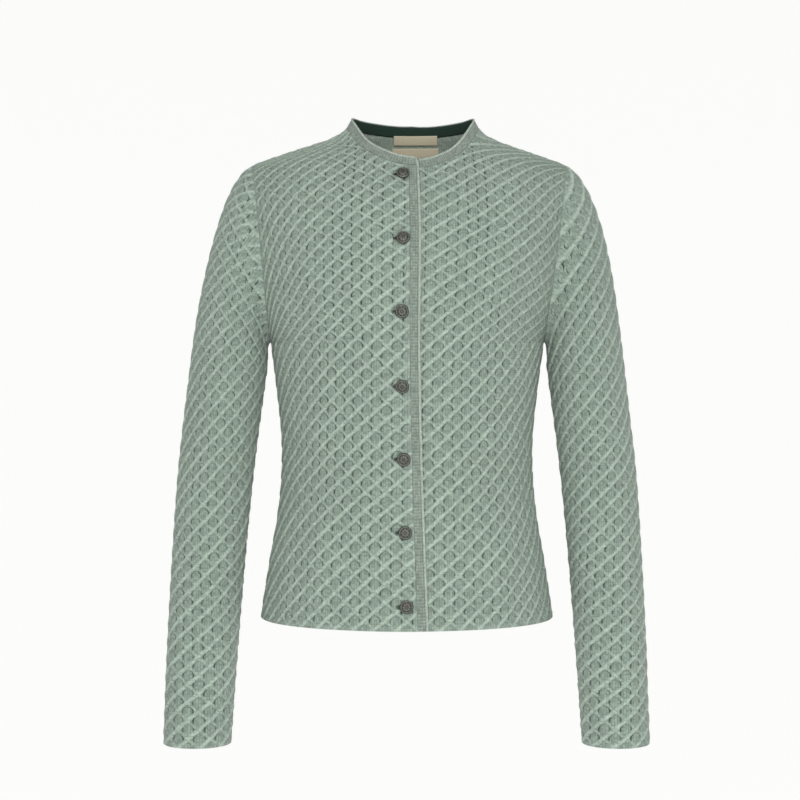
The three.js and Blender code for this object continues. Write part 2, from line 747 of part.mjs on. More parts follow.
// A label hangs straight on the inside of the back, between heights z and sides x
function labelGeometry({ left, right, top, bottom }) {
  const near = -CLOTH - LAYER_GAP;
  const guess = neckBack[FACES.neckBack / 2];
  const stations = steps(right, left, FACES.label).map((x) => {
    const low = placeOf(backFace, { x, z: bottom }, guess);
    const high = placeOf(backFace, { x, z: top }, guess);
    return [
      backWall(low.x, low.y, near),
      backWall(low.x, low.y, near - LABEL_THICKNESS),
      backWall(high.x, high.y, near - LABEL_THICKNESS),
      backWall(high.x, high.y, near),
    ];
  });
  return loft(stations);
}

// A button: a low dome with a raised rim, and its shank down to the under front
const BUTTON_PROFILE = [
  [0, 3.9],
  [0.34, 3.5],
  [0.66, 2.2],
  [0.82, 2.5],
  [1, 1.7],
  [0.86, 0.3],
];

function buttonGeometry(place) {
  const foot = SHANK_GAP - OVERLAP_LIFT - BUTTON_LIFT;
  const profile = [
    new THREE.Vector2(0, foot),
    new THREE.Vector2(SHANK_RADIUS, foot),
    new THREE.Vector2(SHANK_RADIUS, 0),
    ...[...BUTTON_PROFILE].reverse().map(([r, z]) => new THREE.Vector2(r * BUTTON_RADIUS, z)),
  ];
  const geometry = new THREE.LatheGeometry(profile, FACES.button);
  const point = rightWall(place.x, place.y, BUTTON_LIFT);
  const normal = rightWall(place.x, place.y, BUTTON_LIFT + 1).sub(point);
  geometry.deleteAttribute("normal");
  geometry.deleteAttribute("uv");
  const turn = new THREE.Quaternion().setFromUnitVectors(new THREE.Vector3(0, 1, 0), normal);
  geometry.applyQuaternion(turn).translate(point.x, point.y, point.z);
  return mergeVertices(geometry, 1e-3);
}

// Materials
const cloth = (colour) =>
  new THREE.MeshStandardMaterial({ color: colour, roughness: 0.95, metalness: 0 });
const sage = () => cloth(0xa3b3a5);
const ribbing = () => cloth(0xabbaac);
const darkTape = () => cloth(0x1e3d30);
const labelCloth = () => cloth(0xd9cbb0);
const pewter = () =>
  new THREE.MeshStandardMaterial({ color: 0x7a766e, roughness: 0.42, metalness: 0.85 });

const cardigan = new THREE.Group();
function add(name, geometry, material) {
  const mesh = new THREE.Mesh(geometry, material);
  mesh.name = name;
  cardigan.add(mesh);
}

add("front_right", knitPanel(outlineRight, buttonholes, rightWall, BODY_STEP), sage());
add("front_left", knitPanel(outlineLeft, [], leftWall, BODY_STEP), sage());
add("back", knitPanel(outlineBack, [], backWall, BODY_STEP), sage());
add("sleeve_right", knitPanel(sleeveOutline(), [], sleeveWall(-1), SLEEVE_STEP), sage());
add("sleeve_left", knitPanel(sleeveOutline(), [], sleeveWall(1), SLEEVE_STEP), sage());
add("front_band_right", frontBand(rightWall, neckRight, overInner, 1), ribbing());
add("front_band_left", frontBand(leftWall, neckLeft, underInner, -1), ribbing());
add("neckband", neckbandGeometry(), ribbing());
add("neck_tape", neckTapeGeometry(), darkTape());
for (const label of LABELS) add(label.name, labelGeometry(label), labelCloth());
buttons.forEach((place, i) => add(`button_${i + 1}`, buttonGeometry(place), pewter()));

export default cardigan;
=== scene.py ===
import math

import bpy
import numpy as np
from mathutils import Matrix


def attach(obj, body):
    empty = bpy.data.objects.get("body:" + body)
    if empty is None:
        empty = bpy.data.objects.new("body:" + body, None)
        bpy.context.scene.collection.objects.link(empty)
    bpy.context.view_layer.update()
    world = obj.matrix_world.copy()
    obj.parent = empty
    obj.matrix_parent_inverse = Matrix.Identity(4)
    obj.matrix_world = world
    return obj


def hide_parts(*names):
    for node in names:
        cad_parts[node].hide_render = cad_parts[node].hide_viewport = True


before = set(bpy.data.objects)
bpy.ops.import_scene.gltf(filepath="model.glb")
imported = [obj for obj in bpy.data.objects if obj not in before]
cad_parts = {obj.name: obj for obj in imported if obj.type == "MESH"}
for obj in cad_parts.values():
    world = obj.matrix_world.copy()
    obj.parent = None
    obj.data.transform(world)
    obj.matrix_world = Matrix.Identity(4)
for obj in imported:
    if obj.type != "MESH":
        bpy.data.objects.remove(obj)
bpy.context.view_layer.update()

# Where the cardigan is seen: a large bowl of pale studio paper, flat 1.45 m below the frame's
# origin, soft light from all round, and a camera straight in front. Lengths here and below are in
# millimetres, in the frame's own axes, and become metres where a mesh is made.
MM = 0.001
CAMERA_PLACE = (-7.15, -2400, -275)
PICTURE_WIDTH = 880  # across the picture, at the depth of the cardigan's middle
SENSOR = 36
FLOOR_Z = -1450
BOWL_FLOOR, BOWL_CURVE, BOWL_TOP = 2300, 1500, 3600
BOWL_SEGMENTS, BOWL_CURVE_STEPS = 96, 24
PAPER = "#f4f4f3"
GLOW_FRONT, GLOW_BACK = 0.3, 0.97  # the paper's own light, from behind the camera to the back
GLOW_START, GLOW_END = -1400, 600
LIT_MIDDLE = (0, 0, -300)


def linear(colour, share=1.0):
    """A hex sRGB colour as linear red, green, blue and alpha, made lighter or darker by share."""
    parts = [int(colour[i : i + 2], 16) / 255 for i in (1, 3, 5)]
    turned = [c / 12.92 if c <= 0.04045 else ((c + 0.055) / 1.055) ** 2.4 for c in parts]
    return tuple(c * share for c in turned) + (1.0,)


def material(name):
    """A new material, its node tree and its Principled shader."""
    made = bpy.data.materials.new(name)
    made.use_nodes = True
    return made, made.node_tree, made.node_tree.nodes["Principled BSDF"]


def join(tree, node, inputs):
    """Sets a node's inputs; each is a value or another node's output."""
    for key, value in inputs.items():
        if isinstance(value, bpy.types.NodeSocket):
            tree.links.new(value, node.inputs[key])
        else:
            node.inputs[key].default_value = value


def add_node(tree, kind, inputs, **settings):
    """Adds a node with its settings, values and links, and gives its outputs."""
    made = tree.nodes.new("ShaderNode" + kind)
    for key, value in settings.items():
        setattr(made, key, value)
    join(tree, made, inputs)
    return made.outputs


def mesh_object(name, points, faces, materials=(), face_materials=None):
    """A smooth mesh object from points in millimetres and lists of faces with 3 or 4 corners."""
    points = np.asarray(points, float).reshape(-1, 3) * MM
    mesh = bpy.data.meshes.new(name)
    faces = [np.asarray(part, np.int32) for part in faces if len(part)]
    sizes = np.concatenate([np.full(len(part), part.shape[1]) for part in faces])
    corners = np.concatenate([part.ravel() for part in faces])
    mesh.vertices.add(len(points))
    mesh.vertices.foreach_set("co", points.ravel())
    mesh.loops.add(len(corners))
    mesh.loops.foreach_set("vertex_index", corners)
    mesh.polygons.add(len(sizes))
    mesh.polygons.foreach_set("loop_start", np.concatenate([[0], np.cumsum(sizes)[:-1]]))
    if face_materials is not None:
        mesh.polygons.foreach_set("material_index", face_materials)
    mesh.update(calc_edges=True)
    mesh.validate()
    mesh.shade_smooth()
    for each in materials:
        mesh.materials.append(each)
    made = bpy.data.objects.new(name, mesh)
    bpy.context.scene.collection.objects.link(made)
    return made


def points(x, y, z):
    return np.stack(np.broadcast_arrays(x, y, z), -1)


def rings_of(count, around):
    """The indices of rings of points, the same one point ahead, and the faces between the rings."""
    index = np.arange(count * around).reshape(count, around)
    ahead = np.roll(index, -1, 1)
    return index, ahead, np.stack([index[:-1], ahead[:-1], ahead[1:], index[1:]], -1).reshape(-1, 4)


rise_of_bowl = np.linspace(0, np.pi / 2, BOWL_CURVE_STEPS)
bowl_profile = [
    (1, FLOOR_Z),
    *((BOWL_FLOOR + BOWL_CURVE * np.sin(a), FLOOR_Z + BOWL_CURVE * (1 - np.cos(a))) for a in rise_of_bowl),
    (BOWL_FLOOR + BOWL_CURVE, BOWL_TOP),
]
turn = np.linspace(0, 2 * np.pi, BOWL_SEGMENTS, endpoint=False)
radius, height = np.array(bowl_profile, float).T[..., None]
bowl_points = points(radius * np.cos(turn), radius * np.sin(turn), height)
paper, paper_tree, paper_shader = material("matt studio paper")
paper_place = add_node(paper_tree, "NewGeometry", {})["Position"]
glow_range = {
    "Value": add_node(paper_tree, "SeparateXYZ", {0: paper_place})["Y"],
    "From Min": GLOW_START * MM,
    "From Max": GLOW_END * MM,
    "To Min": GLOW_FRONT,
    "To Max": GLOW_BACK,
}
glow = add_node(paper_tree, "MapRange", glow_range, interpolation_type="SMOOTHSTEP")["Result"]
paper_looks = {
    "Base Color": linear(PAPER, 0.1),
    "Roughness": 0.9,
    "Emission Color": linear(PAPER),
    "Emission Strength": glow,
}
join(paper_tree, paper_shader, paper_looks)
paper.cycles.emission_sampling = "NONE"  # so large and even that light finds it without aim
bowl_faces = rings_of(len(bowl_profile), BOWL_SEGMENTS)[2]
mesh_object("studio_bowl", bowl_points, [bowl_faces], [paper])

camera = bpy.data.objects.new("camera", bpy.data.cameras.new("camera"))
camera.location = [c * MM for c in CAMERA_PLACE]
camera.rotation_euler = (math.pi / 2, 0, 0)
camera.data.sensor_width = SENSOR
camera.data.lens = SENSOR * -CAMERA_PLACE[1] / PICTURE_WIDTH
camera.data.clip_end = 30
bpy.context.scene.collection.objects.link(camera)
bpy.context.scene.camera = camera

LIGHTS = [
    # name, place, size and watts; each shines at LIT_MIDDLE
    ("key_left", (-2300, -1750, -700), 1300, 10),
    ("key_right", (2300, -1650, -700), 1300, 12),
    ("front", (40, -2500, 480), 1300, 41),
    ("low", (100, -1500, -1250), 1200, 17),
    ("top", (0, -900, 2100), 1800, 11),
    ("behind", (500, 2000, 1750), 1500, 14),
]
for name, place, size, watts in LIGHTS:
    light = bpy.data.objects.new(name, bpy.data.lights.new(name, "AREA"))
    light.data.size = size * MM
    light.data.energy = watts
    light.location = [c * MM for c in place]
    aim = np.array(place) - np.array(LIT_MIDDLE)
    light.rotation_euler = (
        math.atan2(math.hypot(aim[0], aim[1]), aim[2]),
        0,
        math.atan2(aim[1], aim[0]) + math.pi / 2,
    )
    bpy.context.scene.collection.objects.link(light)
world = bpy.data.worlds.new("sky over the bowl")
world.use_nodes = True
world.node_tree.nodes["Background"].inputs["Color"].default_value = linear(PAPER)
world.node_tree.nodes["Background"].inputs["Strength"].default_value = 0.5
bpy.context.scene.world = world
bpy.context.scene.view_settings.view_transform = "Standard"

# The right front, the one on top. It is a piece of fully fashioned knitting in sage wool, made
# flat and sewn in: slanting ribs of two strands cross finer ribs that slant the other way, with
# a small round boss between them. Its worn shape fills out like a body with nobody inside.
CLOTH = 2.9  # thickness over the ribs
LATTICE = 19.4  # width and height of one diamond
TRIM = 0.28  # taken off each panel at a seam
SEAM_GAP = 0.3
LAYER_GAP = 1.5
OVERLAP = 28
LIFT_START, LIFT_END = 78, 34  # from the edge, where the upper front rises over the lower one
BAND_WIDTH = 9.3


def table(columns, rows):
    """A table with named columns."""
    return dict(zip(columns.split(), np.array(rows, float).T))


# the front's middle line is u = 0; edge is the u of the upper front's edge, at heights above the hem
CLOSURE = table("at edge button", [(0, 19, 0), (130, 15, -2.2), (270, 12.2, -4.8), (505, 8.8, -6)])

# The middle of the body, from the front hem (0) over the shoulders (2) to the back hem (4)
MIDDLE = table(
    "at z y wrap drop",
    [
        (0.0, -518, -106, 1.0, 2.0),
        (0.25, -451, -101, 1.0, 2.0),
        (0.5, -383, -98, 1.0, 2.0),
        (0.7, -318, -101, 1.0, 2.0),
        (0.85, -266, -110, 1.0, 2.0),
        (1.0, -217, -117, 1.0, 2.0),
        (1.2, -166, -117, 0.95, 1.9),
        (1.4, -115, -108, 0.85, 1.8),
        (1.6, -66, -89, 0.75, 1.6),
        (1.75, -31, -68, 0.65, 1.4),
        (1.88, 2, -42, 0.57, 1.2),
        (2.0, 37.8, 4, 0.5, 1.0),
        (2.12, 31, 38, 0.57, 1.2),
        (2.25, 13, 63, 0.65, 1.4),
        (2.4, -24, 79, 0.75, 1.6),
        (2.6, -84, 91, 0.85, 1.8),
        (2.8, -148, 94, 0.95, 1.9),
        (3.0, -212, 90, 1.0, 2.0),
        (3.15, -264, 84, 1.0, 2.0),
        (3.3, -318, 79, 1.0, 2.0),
        (3.5, -383, 81, 1.0, 2.0),
        (3.75, -451, 94, 1.0, 2.0),
        (4.0, -517, 106, 1.0, 2.0),
    ],
)
# The side seam, from the hem (0) to the underarm (1)
SIDE = table(
    "at z x y",
    [
        (0.0, -512, 161, 2),
        (0.25, -448, 151, 2),
        (0.4, -405, 143.5, 2),
        (0.55, -362, 139, 3),
        (0.7, -316, 138.6, 4),
        (0.85, -262, 144, 4),
        (1.0, -212, 150.5, 4),
    ],
)
# How far the body stands to one side, by its height
LEAN = table(
    "at x",
    [(-650, 0), (-400, 0.5), (-200, 1), (-90, 3.2), (-20, 3), (5, 3.5), (25, 7), (45, 7)],
)
ARMHOLE_BOTTOM, ARMHOLE_TOP, ARMHOLE_HALF_DEPTH, ARMHOLE_Y = -212, -16, 46, 4
ARMHOLE_X_BOTTOM, ARMHOLE_X_TOP, ARMHOLE_BEND = 150.5, 172, 1.1
NECK_X, NECK_Y, NECK_HALF_WIDTH, NECK_FRONT, NECK_BACK = 7, 4, 73, 68, 58
STAND_HEIGHT, STAND_RADIUS, STAND_FADE, STAND_FRONT, STAND_BACK = 16, 68, 8.5, -12, -50


def hermite(low, high, leaving, arriving, f):
    g = 1 - f
    ends = low * (1 + 2 * f) * g * g + high * (3 - 2 * f) * f * f
    return ends + leaving * f * g * g - arriving * f * f * g


def smooth(rows, column, at):
    """A column of a table between its rows, on a smooth curve through them."""
    x, y = rows["at"], rows[column]
    slope = np.empty(len(x))
    slope[1:-1] = (y[2:] - y[:-2]) / (x[2:] - x[:-2])
    slope[0], slope[-1] = (y[1] - y[0]) / (x[1] - x[0]), (y[-1] - y[-2]) / (x[-1] - x[-2])
    i = np.searchsorted(x[1:-1], at)
    span = x[i + 1] - x[i]
    f = np.clip((at - x[i]) / span, 0, 1)
    return hermite(y[i], y[i + 1], slope[i] * span, slope[i + 1] * span, f)


def blend(start, end, value):
    """0 before start and 1 past end, with a soft rise between; start may be the larger."""
    f = np.clip((value - start) / (end - start), 0, 1)
    return f * f * (3 - 2 * f)


def unit(vectors):
    return vectors / np.maximum(np.linalg.norm(vectors, axis=-1, keepdims=True), 1e-12)


def lean(place):
    place[..., 0] += smooth(LEAN, "x", place[..., 2])
    return place


def armhole_point(angle):
    """The armhole from its top (0) by its front (90 degrees) to its bottom."""
    height = ARMHOLE_TOP - ARMHOLE_BOTTOM
    z = ARMHOLE_BOTTOM + height / 2 * (1 + np.cos(angle))
    share = np.clip((z - ARMHOLE_BOTTOM) / height, 0, 1)
    x = ARMHOLE_X_BOTTOM + (ARMHOLE_X_TOP - ARMHOLE_X_BOTTOM) * share**ARMHOLE_BEND
    return points(x, ARMHOLE_Y - ARMHOLE_HALF_DEPTH * np.sin(angle), z)


def body_point(s, at):
    """The outer face at a row, and s from its middle (0) to the wearer's left (1) or right (-1)."""
    s, at = np.broadcast_arrays(np.asarray(s, float), np.asarray(at, float))
    row = np.minimum(at, 4 - at)
    seam = points(smooth(SIDE, "x", row), smooth(SIDE, "y", row), smooth(SIDE, "z", row))
    in_arm = ((at > 1) & (at < 3))[..., None]
    side = np.where(in_arm, armhole_point((2 - at) * np.pi), seam)
    across = np.abs(s)
    turn = smooth(MIDDLE, "wrap", at) * np.pi / 2
    y, z = smooth(MIDDLE, "y", at), smooth(MIDDLE, "z", at)
    rounded = (1 - np.cos(across * turn)) / (1 - np.cos(turn))
    place = points(
        np.sign(s) * side[..., 0] * np.sin(across * turn) / np.sin(turn),
        y + (side[..., 1] - y) * rounded,
        z + (side[..., 2] - z) * across ** smooth(MIDDLE, "drop", at),
    )
    lean(place)
    depth = np.where(place[..., 1] < NECK_Y, NECK_FRONT, NECK_BACK)
    reach = np.hypot((place[..., 0] - NECK_X) / NECK_HALF_WIDTH, (place[..., 1] - NECK_Y) / depth)
    past = np.maximum(reach * NECK_HALF_WIDTH - STAND_RADIUS, 0)
    rise = STAND_HEIGHT * np.exp(-past / STAND_FADE)
    place[..., 2] += rise * blend(STAND_BACK, STAND_FRONT, place[..., 1])
    return place


def lengths(line):
    """How far each point of a line lies along it."""
    steps = np.linalg.norm(np.diff(line, axis=0), axis=-1)
    return np.concatenate([np.zeros((1,) + steps.shape[1:]), np.cumsum(steps, 0)])


ROWS = np.linspace(0, 4, 161)
ROW_LENGTHS = lengths(body_point(np.linspace(0, 1, 25)[:, None], ROWS))[-1]
FRONT_ROWS, BACK_ROWS = np.linspace(0, 2, 121), np.linspace(4, 2, 121)
FRONT_LENGTHS = lengths(body_point(0, FRONT_ROWS))
BACK_LENGTHS = lengths(body_point(0, BACK_ROWS))
FRONT_HEIGHT, BACK_HEIGHT = FRONT_LENGTHS[-1], BACK_LENGTHS[-1]


def row_length(at):
    """Half a row's length, from the middle to the side."""
    return np.interp(at, ROWS, ROW_LENGTHS)


def row_at(v, heights, rows):
    """The row at a height in the cloth, also a little past the last one."""
    past = np.maximum(v - heights[-1], 0) * (rows[-1] - rows[-2]) / (heights[-1] - heights[-2])
    return np.interp(v, heights, rows) + past


def front_row(v):
    return row_at(v, FRONT_LENGTHS, FRONT_ROWS)


def front_face(u, v):
    """The front's outer face at u across and v above the hem."""
    return body_point(u / row_length(front_row(v)), front_row(v))


def front_edge(v):
    return smooth(CLOSURE, "edge", v)


# The sleeve's two sides, half its depth and its middle, from the cuff up to the biceps, and how
# much the knitting is stretched across
SLEEVE = table(
    "at outer inner half_depth y stretch",
    [
        (-649, 266, 191, 42, -16, 1.42),
        (-572, 264, 186, 44.5, -10, 1.36),
        (-450, 258.5, 177, 48, -2, 1.2),
        (-345, 251.5, 167, 52, 2, 1.06),
        (-240, 239.5, 153.5, 56, 3, 1.0),
    ],
)
CUFF_Z, BICEPS_Z = SLEEVE["at"][0], SLEEVE["at"][-1]
HEAD_OUTWARD, HEAD_ALONG, HEAD_START, HEAD_END = 0.75, 0.4, 0.56, 1.03


def arm_ring(angle, z):
    """The sleeve round the arm, from its outer line (0) by the front to its inner line."""
    outer, inner = smooth(SLEEVE, "outer", z), smooth(SLEEVE, "inner", z)
    x = (outer + inner) / 2 + (outer - inner) / 2 * np.cos(angle)
    return points(x, smooth(SLEEVE, "y", z) - smooth(SLEEVE, "half_depth", z) * np.sin(angle), z)


def sleeve_point(hand, angle, at):
    """The sleeve from the armhole (0) to the biceps (1) and the cuff (2)."""
    angle, at = np.broadcast_arrays(np.asarray(angle, float), np.asarray(at, float))
    tube = arm_ring(angle, BICEPS_Z + (CUFF_Z - BICEPS_Z) * (np.maximum(at, 1) - 1))
    start, end = armhole_point(angle), arm_ring(angle, np.full(angle.shape, float(BICEPS_Z)))
    span = np.linalg.norm(end - start, axis=-1, keepdims=True)
    leaving = (end - start) * HEAD_ALONG / span + points(HEAD_OUTWARD, 0, 0)
    arriving = unit(arm_ring(angle, np.full(angle.shape, BICEPS_Z - 1.0)) - end)
    f = np.minimum(at, 1)[..., None]
    head = hermite(start, end, unit(leaving) * HEAD_START * span, arriving * HEAD_END * span, f)
    place = np.where((at >= 1)[..., None], tube, head)
    place[..., 0] *= hand
    return lean(place)


NUDGE = 0.004


def armhole_normal(hand, angle):
    """The direction in which the walls of body and sleeve both end at the armhole."""
    at = 2 - angle / np.pi
    up = body_point(hand, at + NUDGE) - body_point(hand, at - NUDGE)
    out = body_point(hand, at) - body_point(hand * (1 - NUDGE), at)
    body = np.cross(out, up) * hand
    around = sleeve_point(hand, angle + NUDGE, 0) - sleeve_point(hand, angle - NUDGE, 0)
    down = sleeve_point(hand, angle, NUDGE) - sleeve_point(hand, angle, 0)
    sleeve = np.cross(around, down) * hand
    return unit(unit(body) + unit(sleeve))


SEAM_BLEND = 14  # over this width a wall turns to the seam's own direction
ROW_STEP = 235  # about the length of the side seam


def body_wall(face, row, lift=None):
    """A panel's wall as a function: the point at u and v, w out from the outer face."""

    def wall(u, v, w):
        step = 0.5
        here = face(u, v)
        across = face(u + step, v) - face(u - step, v)
        normal = unit(np.cross(across, face(u, v + step) - face(u, v - step)))
        at = row(v)
        to_edge = row_length(at) - np.abs(u)
        below = np.maximum(np.maximum(1 - at, at - 3), 0) * ROW_STEP
        share = np.clip(1 - np.hypot(to_edge, below) / SEAM_BLEND, 0, 1)[..., None]
        hand = np.where(here[..., 0] < NECK_X, -1.0, 1.0)
        angle = (2 - np.clip(at, 1, 3)) * np.pi
        near = share[..., 0] > 0
        if near.any():
            turned = np.zeros_like(normal)
            for side in (-1, 1):
                chosen = near & (hand == side)
                turned[chosen] = armhole_normal(side, np.broadcast_to(angle, near.shape)[chosen])
            normal = unit(normal * (1 - share) + turned * share)
        out = w if lift is None else w + lift(u, v)
        return here + normal * np.asarray(out)[..., None]

    return wall


def overlap_lift(u, v):
    edge = front_edge(v)
    return (CLOTH + LAYER_GAP) * blend(edge - LIFT_START, edge - LIFT_END, u)


# Soft folds of the worn fronts, below the underarms, at the waist and up from the hem: the middle
# of each in the cloth, its length and width, its slant in degrees, and its height or depth
FRONT_FOLDS = [
    (-128, 372, 115, 13, -53, -2.1),
    (-108, 348, 80, 10, -46, -1.3),
    (-102, 388, 95, 15, -60, 1.1),
    (-118, 232, 85, 12, 14, -1.8),
    (-97, 205, 66, 10, 8, 1.2),
    (-125, 184, 80, 12, -11, -1.4),
    (-58, 58, 150, 16, 83, -1.5),
    (-84, 66, 130, 13, 88, 1.1),
    (-113, 50, 125, 15, 97, -1.7),
    (-74, 455, 100, 15, -67, -1.2),
    (-131, 472, 80, 11, -76, -1.4),
    (124, 366, 105, 12, 50, -2.0),
    (106, 341, 85, 11, 43, -1.2),
    (99, 383, 90, 14, 61, 1.0),
    (120, 226, 90, 12, -12, -1.7),
    (95, 199, 60, 10, -5, 1.1),
    (127, 179, 74, 11, 13, -1.3),
    (64, 54, 140, 15, 96, -1.4),
    (91, 62, 120, 14, 91, 1.0),
    (119, 47, 118, 15, 84, -1.6),
    (71, 449, 96, 15, 65, -1.1),
    (129, 466, 84, 11, 75, -1.3),
]
FOLD_BOW = 0.5  # how far a fold's ends bend aside, as a share of its width
FOLD_START, FOLD_FULL = 4, 26  # folds die out on the way to a seam


def folds(rows, u, v, to_seam):
    """How far soft folds lift a place in the cloth."""
    lift = 0 * u * v
    for middle_u, middle_v, length, width, slant, height in rows:
        turned = np.exp(-1j * math.radians(slant)) * (u - middle_u + 1j * (v - middle_v))
        along, across = turned.real / (length / 2), turned.imag / width
        across = across + FOLD_BOW * along**2
        lift = lift + height * np.exp(-(across**2)) * np.clip(1 - along**2, 0, 1) ** 2
    return lift * blend(FOLD_START, FOLD_FULL, to_seam)


def panel_folds(rows, row):
    """The folds of a panel of the body, as a function of u and v."""

    def lift(u, v):
        return folds(rows, u, v, row_length(row(v)) - np.abs(u))

    return lift


front_folds = panel_folds(FRONT_FOLDS, front_row)


def upper_front_lift(u, v):
    return overlap_lift(u, v) + front_folds(u, v)


right_wall = body_wall(front_face, front_row, upper_front_lift)
left_wall = body_wall(front_face, front_row, front_folds)


def settle(face, place, goal, axes, rounds, most):
    """Moves places (u, v) of a face to where its points agree with a goal on two of the axes."""
    for _ in range(rounds):
        here = face(*place.T)[:, axes]
        du = (face(place[:, 0] + 0.5, place[:, 1])[:, axes] - here) * 2
        dv = (face(place[:, 0], place[:, 1] + 0.5)[:, axes] - here) * 2
        size = du[:, 0] * dv[:, 1] - du[:, 1] * dv[:, 0]
        miss = goal - here
        place[:, 0] += np.clip((miss[:, 0] * dv[:, 1] - miss[:, 1] * dv[:, 0]) / size, -most, most)
        place[:, 1] += np.clip((miss[:, 1] * du[:, 0] - miss[:, 0] * du[:, 1]) / size, -most, most)
    return place


def under(face, x, y, low, high):
    """The places (u, v) of a face that lie at x and y seen from above, sought between two corners."""
    tries = np.stack(np.meshgrid(np.arange(low[0], high[0], 2.0), np.arange(low[1], high[1], 2.0)), -1)
    tries = tries.reshape(-1, 2)
    plan = face(tries[:, 0], tries[:, 1])[:, :2]
    goal = np.stack([x, y], -1)
    place = tries[np.argmin(((plan[None] - goal[:, None]) ** 2).sum(-1), 1)].astype(float)
    return settle(face, place, goal, [0, 1], rounds=8, most=2)


def neck_seam(face, turns, low, high):
    """The foot of the neckband on a face, turning from the middle front (0) to the shoulders."""
    depth = np.where(np.cos(turns) > 0, NECK_FRONT, NECK_BACK)
    x = NECK_X + NECK_HALF_WIDTH * np.sin(turns)
    return under(face, x, NECK_Y - depth * np.cos(turns), low, high)


# relief of the knitting, down from the crests of the slanting ribs
GROUND = 1.5
RIB_HALF, FINE_RIB_HALF, FINE_RIB_HEIGHT = 2.3, 1.7, 1.05
BOSS_HALF_WIDTH, BOSS_HALF_HEIGHT, BOSS_RISE = 4.6, 5.3, 1.1
BOSS_ASIDE = 0.4  # its middle lies this far from the diamond's, away from the rib above it
PIT_OUT, PIT_WIDTH, PIT_FOOT, PIT_DEPTH = 1.1, 0.23, -0.7, 1.15
STITCH_WIDTH, STITCH_HEIGHT = LATTICE / 8, LATTICE / 10
COLUMN_DEPTH = 0.3  # of the grooves between a boss's columns of stitches
RIB_FULLNESS, BOSS_FULLNESS, BOSS_FLATNESS = 2.6, 2.4, 0.7  # powers that shape their sections
# the lattice is a little uneven: how far it strays across and up, and over what lengths
UNEVEN_ACROSS, UNEVEN_UP = [(0.35, 31, 47), (0.25, 11.3, -19)], [(0.35, 29, -53), (0.25, 12.7, 17)]
SEAM_DIP, SEAM_REACH, HEM_DIP, HEM_REACH = 0.9, 3.6, 0.55, 4.0
LINING_STEP = 3  # the plain inside has one face for this many outside, each way
EDGE_ROUND = 0.7


# How much closer the rows of diamonds lie towards the shoulders, where the cloth is less stretched
CLOSER = table(
    "at rows",
    [(0, 0), (300, 0), (320, 0.2), (368, 2.6), (425, 9.7), (475, 16), (535, 20.5), (600, 23), (700, 26)],
)


def knit_relief(u, v):
    """The height of the knitting over its ground, and how much of each place is a smooth rib.

    Bosses have an open pit round their sides and top, and grooves between columns of stitches."""
    sideways = sum(far * np.sin(v / up + u / across) for far, up, across in UNEVEN_ACROSS)
    upward = sum(far * np.sin(u / across + v / up) for far, across, up in UNEVEN_UP)
    u, v = u + sideways, v + upward
    rib = (v - u) / LATTICE + 0.5
    fine = (v + u) / LATTICE + 0.5
    to_mm = LATTICE / math.sqrt(2)
    from_rib = np.abs(rib - np.round(rib)) * to_mm / RIB_HALF
    from_fine = np.abs(fine - np.round(fine)) * to_mm / FINE_RIB_HALF
    ribs = GROUND * np.clip(1 - from_rib**RIB_FULLNESS, 0, 1)
    fine_ribs = FINE_RIB_HEIGHT * np.clip(1 - from_fine**2, 0, 1)
    in_rib, in_fine = rib - np.floor(rib) - 0.5, fine - np.floor(fine) - 0.5
    x = (in_fine - in_rib) / 2 * LATTICE - BOSS_ASIDE
    y = (in_fine + in_rib) / 2 * LATTICE + BOSS_ASIDE
    from_boss = np.hypot(x / BOSS_HALF_WIDTH, y / BOSS_HALF_HEIGHT)
    boss = BOSS_RISE * np.clip(1 - from_boss**BOSS_FULLNESS, 0, 1) ** BOSS_FLATNESS
    grooves = COLUMN_DEPTH * (0.5 + 0.5 * np.cos(2 * np.pi * (x / STITCH_WIDTH + 0.5)))
    boss = boss - grooves * np.clip(1.2 - from_boss, 0, 1)
    aside_boss = blend(0.15, 0.75, np.abs(x) / BOSS_HALF_WIDTH)
    high = blend(PIT_FOOT, PIT_FOOT + 0.4, y / BOSS_HALF_HEIGHT) * (0.4 + 0.6 * aside_boss)
    cell = np.floor(rib) * 12.9898 + np.floor(fine) * 78.233 + np.sign(x) * 2.1
    pit = np.exp(-(((from_boss - PIT_OUT) / PIT_WIDTH) ** 2)) * high * (0.9 + 0.2 * np.sin(cell))
    lower = ribs < 0.5 * GROUND
    relief = np.maximum(np.maximum(ribs, fine_ribs), boss) - PIT_DEPTH * pit * (0.6 + 0.4 * lower)
    return relief, np.maximum(ribs / GROUND, 0.72 * fine_ribs / FINE_RIB_HEIGHT)


def evenly(line, count):
    """A line with as many even steps as count says."""
    at = lengths(line)
    goal = np.linspace(0, at[-1], count + 1)
    return np.stack([np.interp(goal, at, line[:, k]) for k in range(line.shape[1])], -1)


def in_parts(parts, count):
    """Lines end to end as even steps, count in all, with each join on a step of the lining."""
    shares = np.cumsum([lengths(part)[-1] for part in parts])
    ends = np.round(shares / shares[-1] * count / LINING_STEP).astype(int) * LINING_STEP
    starts = np.concatenate([[0], ends[:-1]])
    pieces = [evenly(part, end - start) for part, start, end in zip(parts, starts, ends)]
    return np.concatenate([pieces[0]] + [piece[1:] for piece in pieces[1:]])


def patch(bottom, right, top, left):
    """A grid of places between four edges: rows from bottom to top, each from left to right."""
    p = np.linspace(0, 1, len(bottom))[None, :, None]
    q = np.linspace(0, 1, len(left))[:, None, None]
    corners = (
        (1 - p) * (1 - q) * bottom[0] + p * (1 - q) * bottom[-1] + (1 - p) * q * top[0] + p * q * top[-1]
    )
    grid = (1 - q) * bottom[None] + q * top[None] + (1 - p) * left[:, None] + p * right[:, None]
    return grid - corners


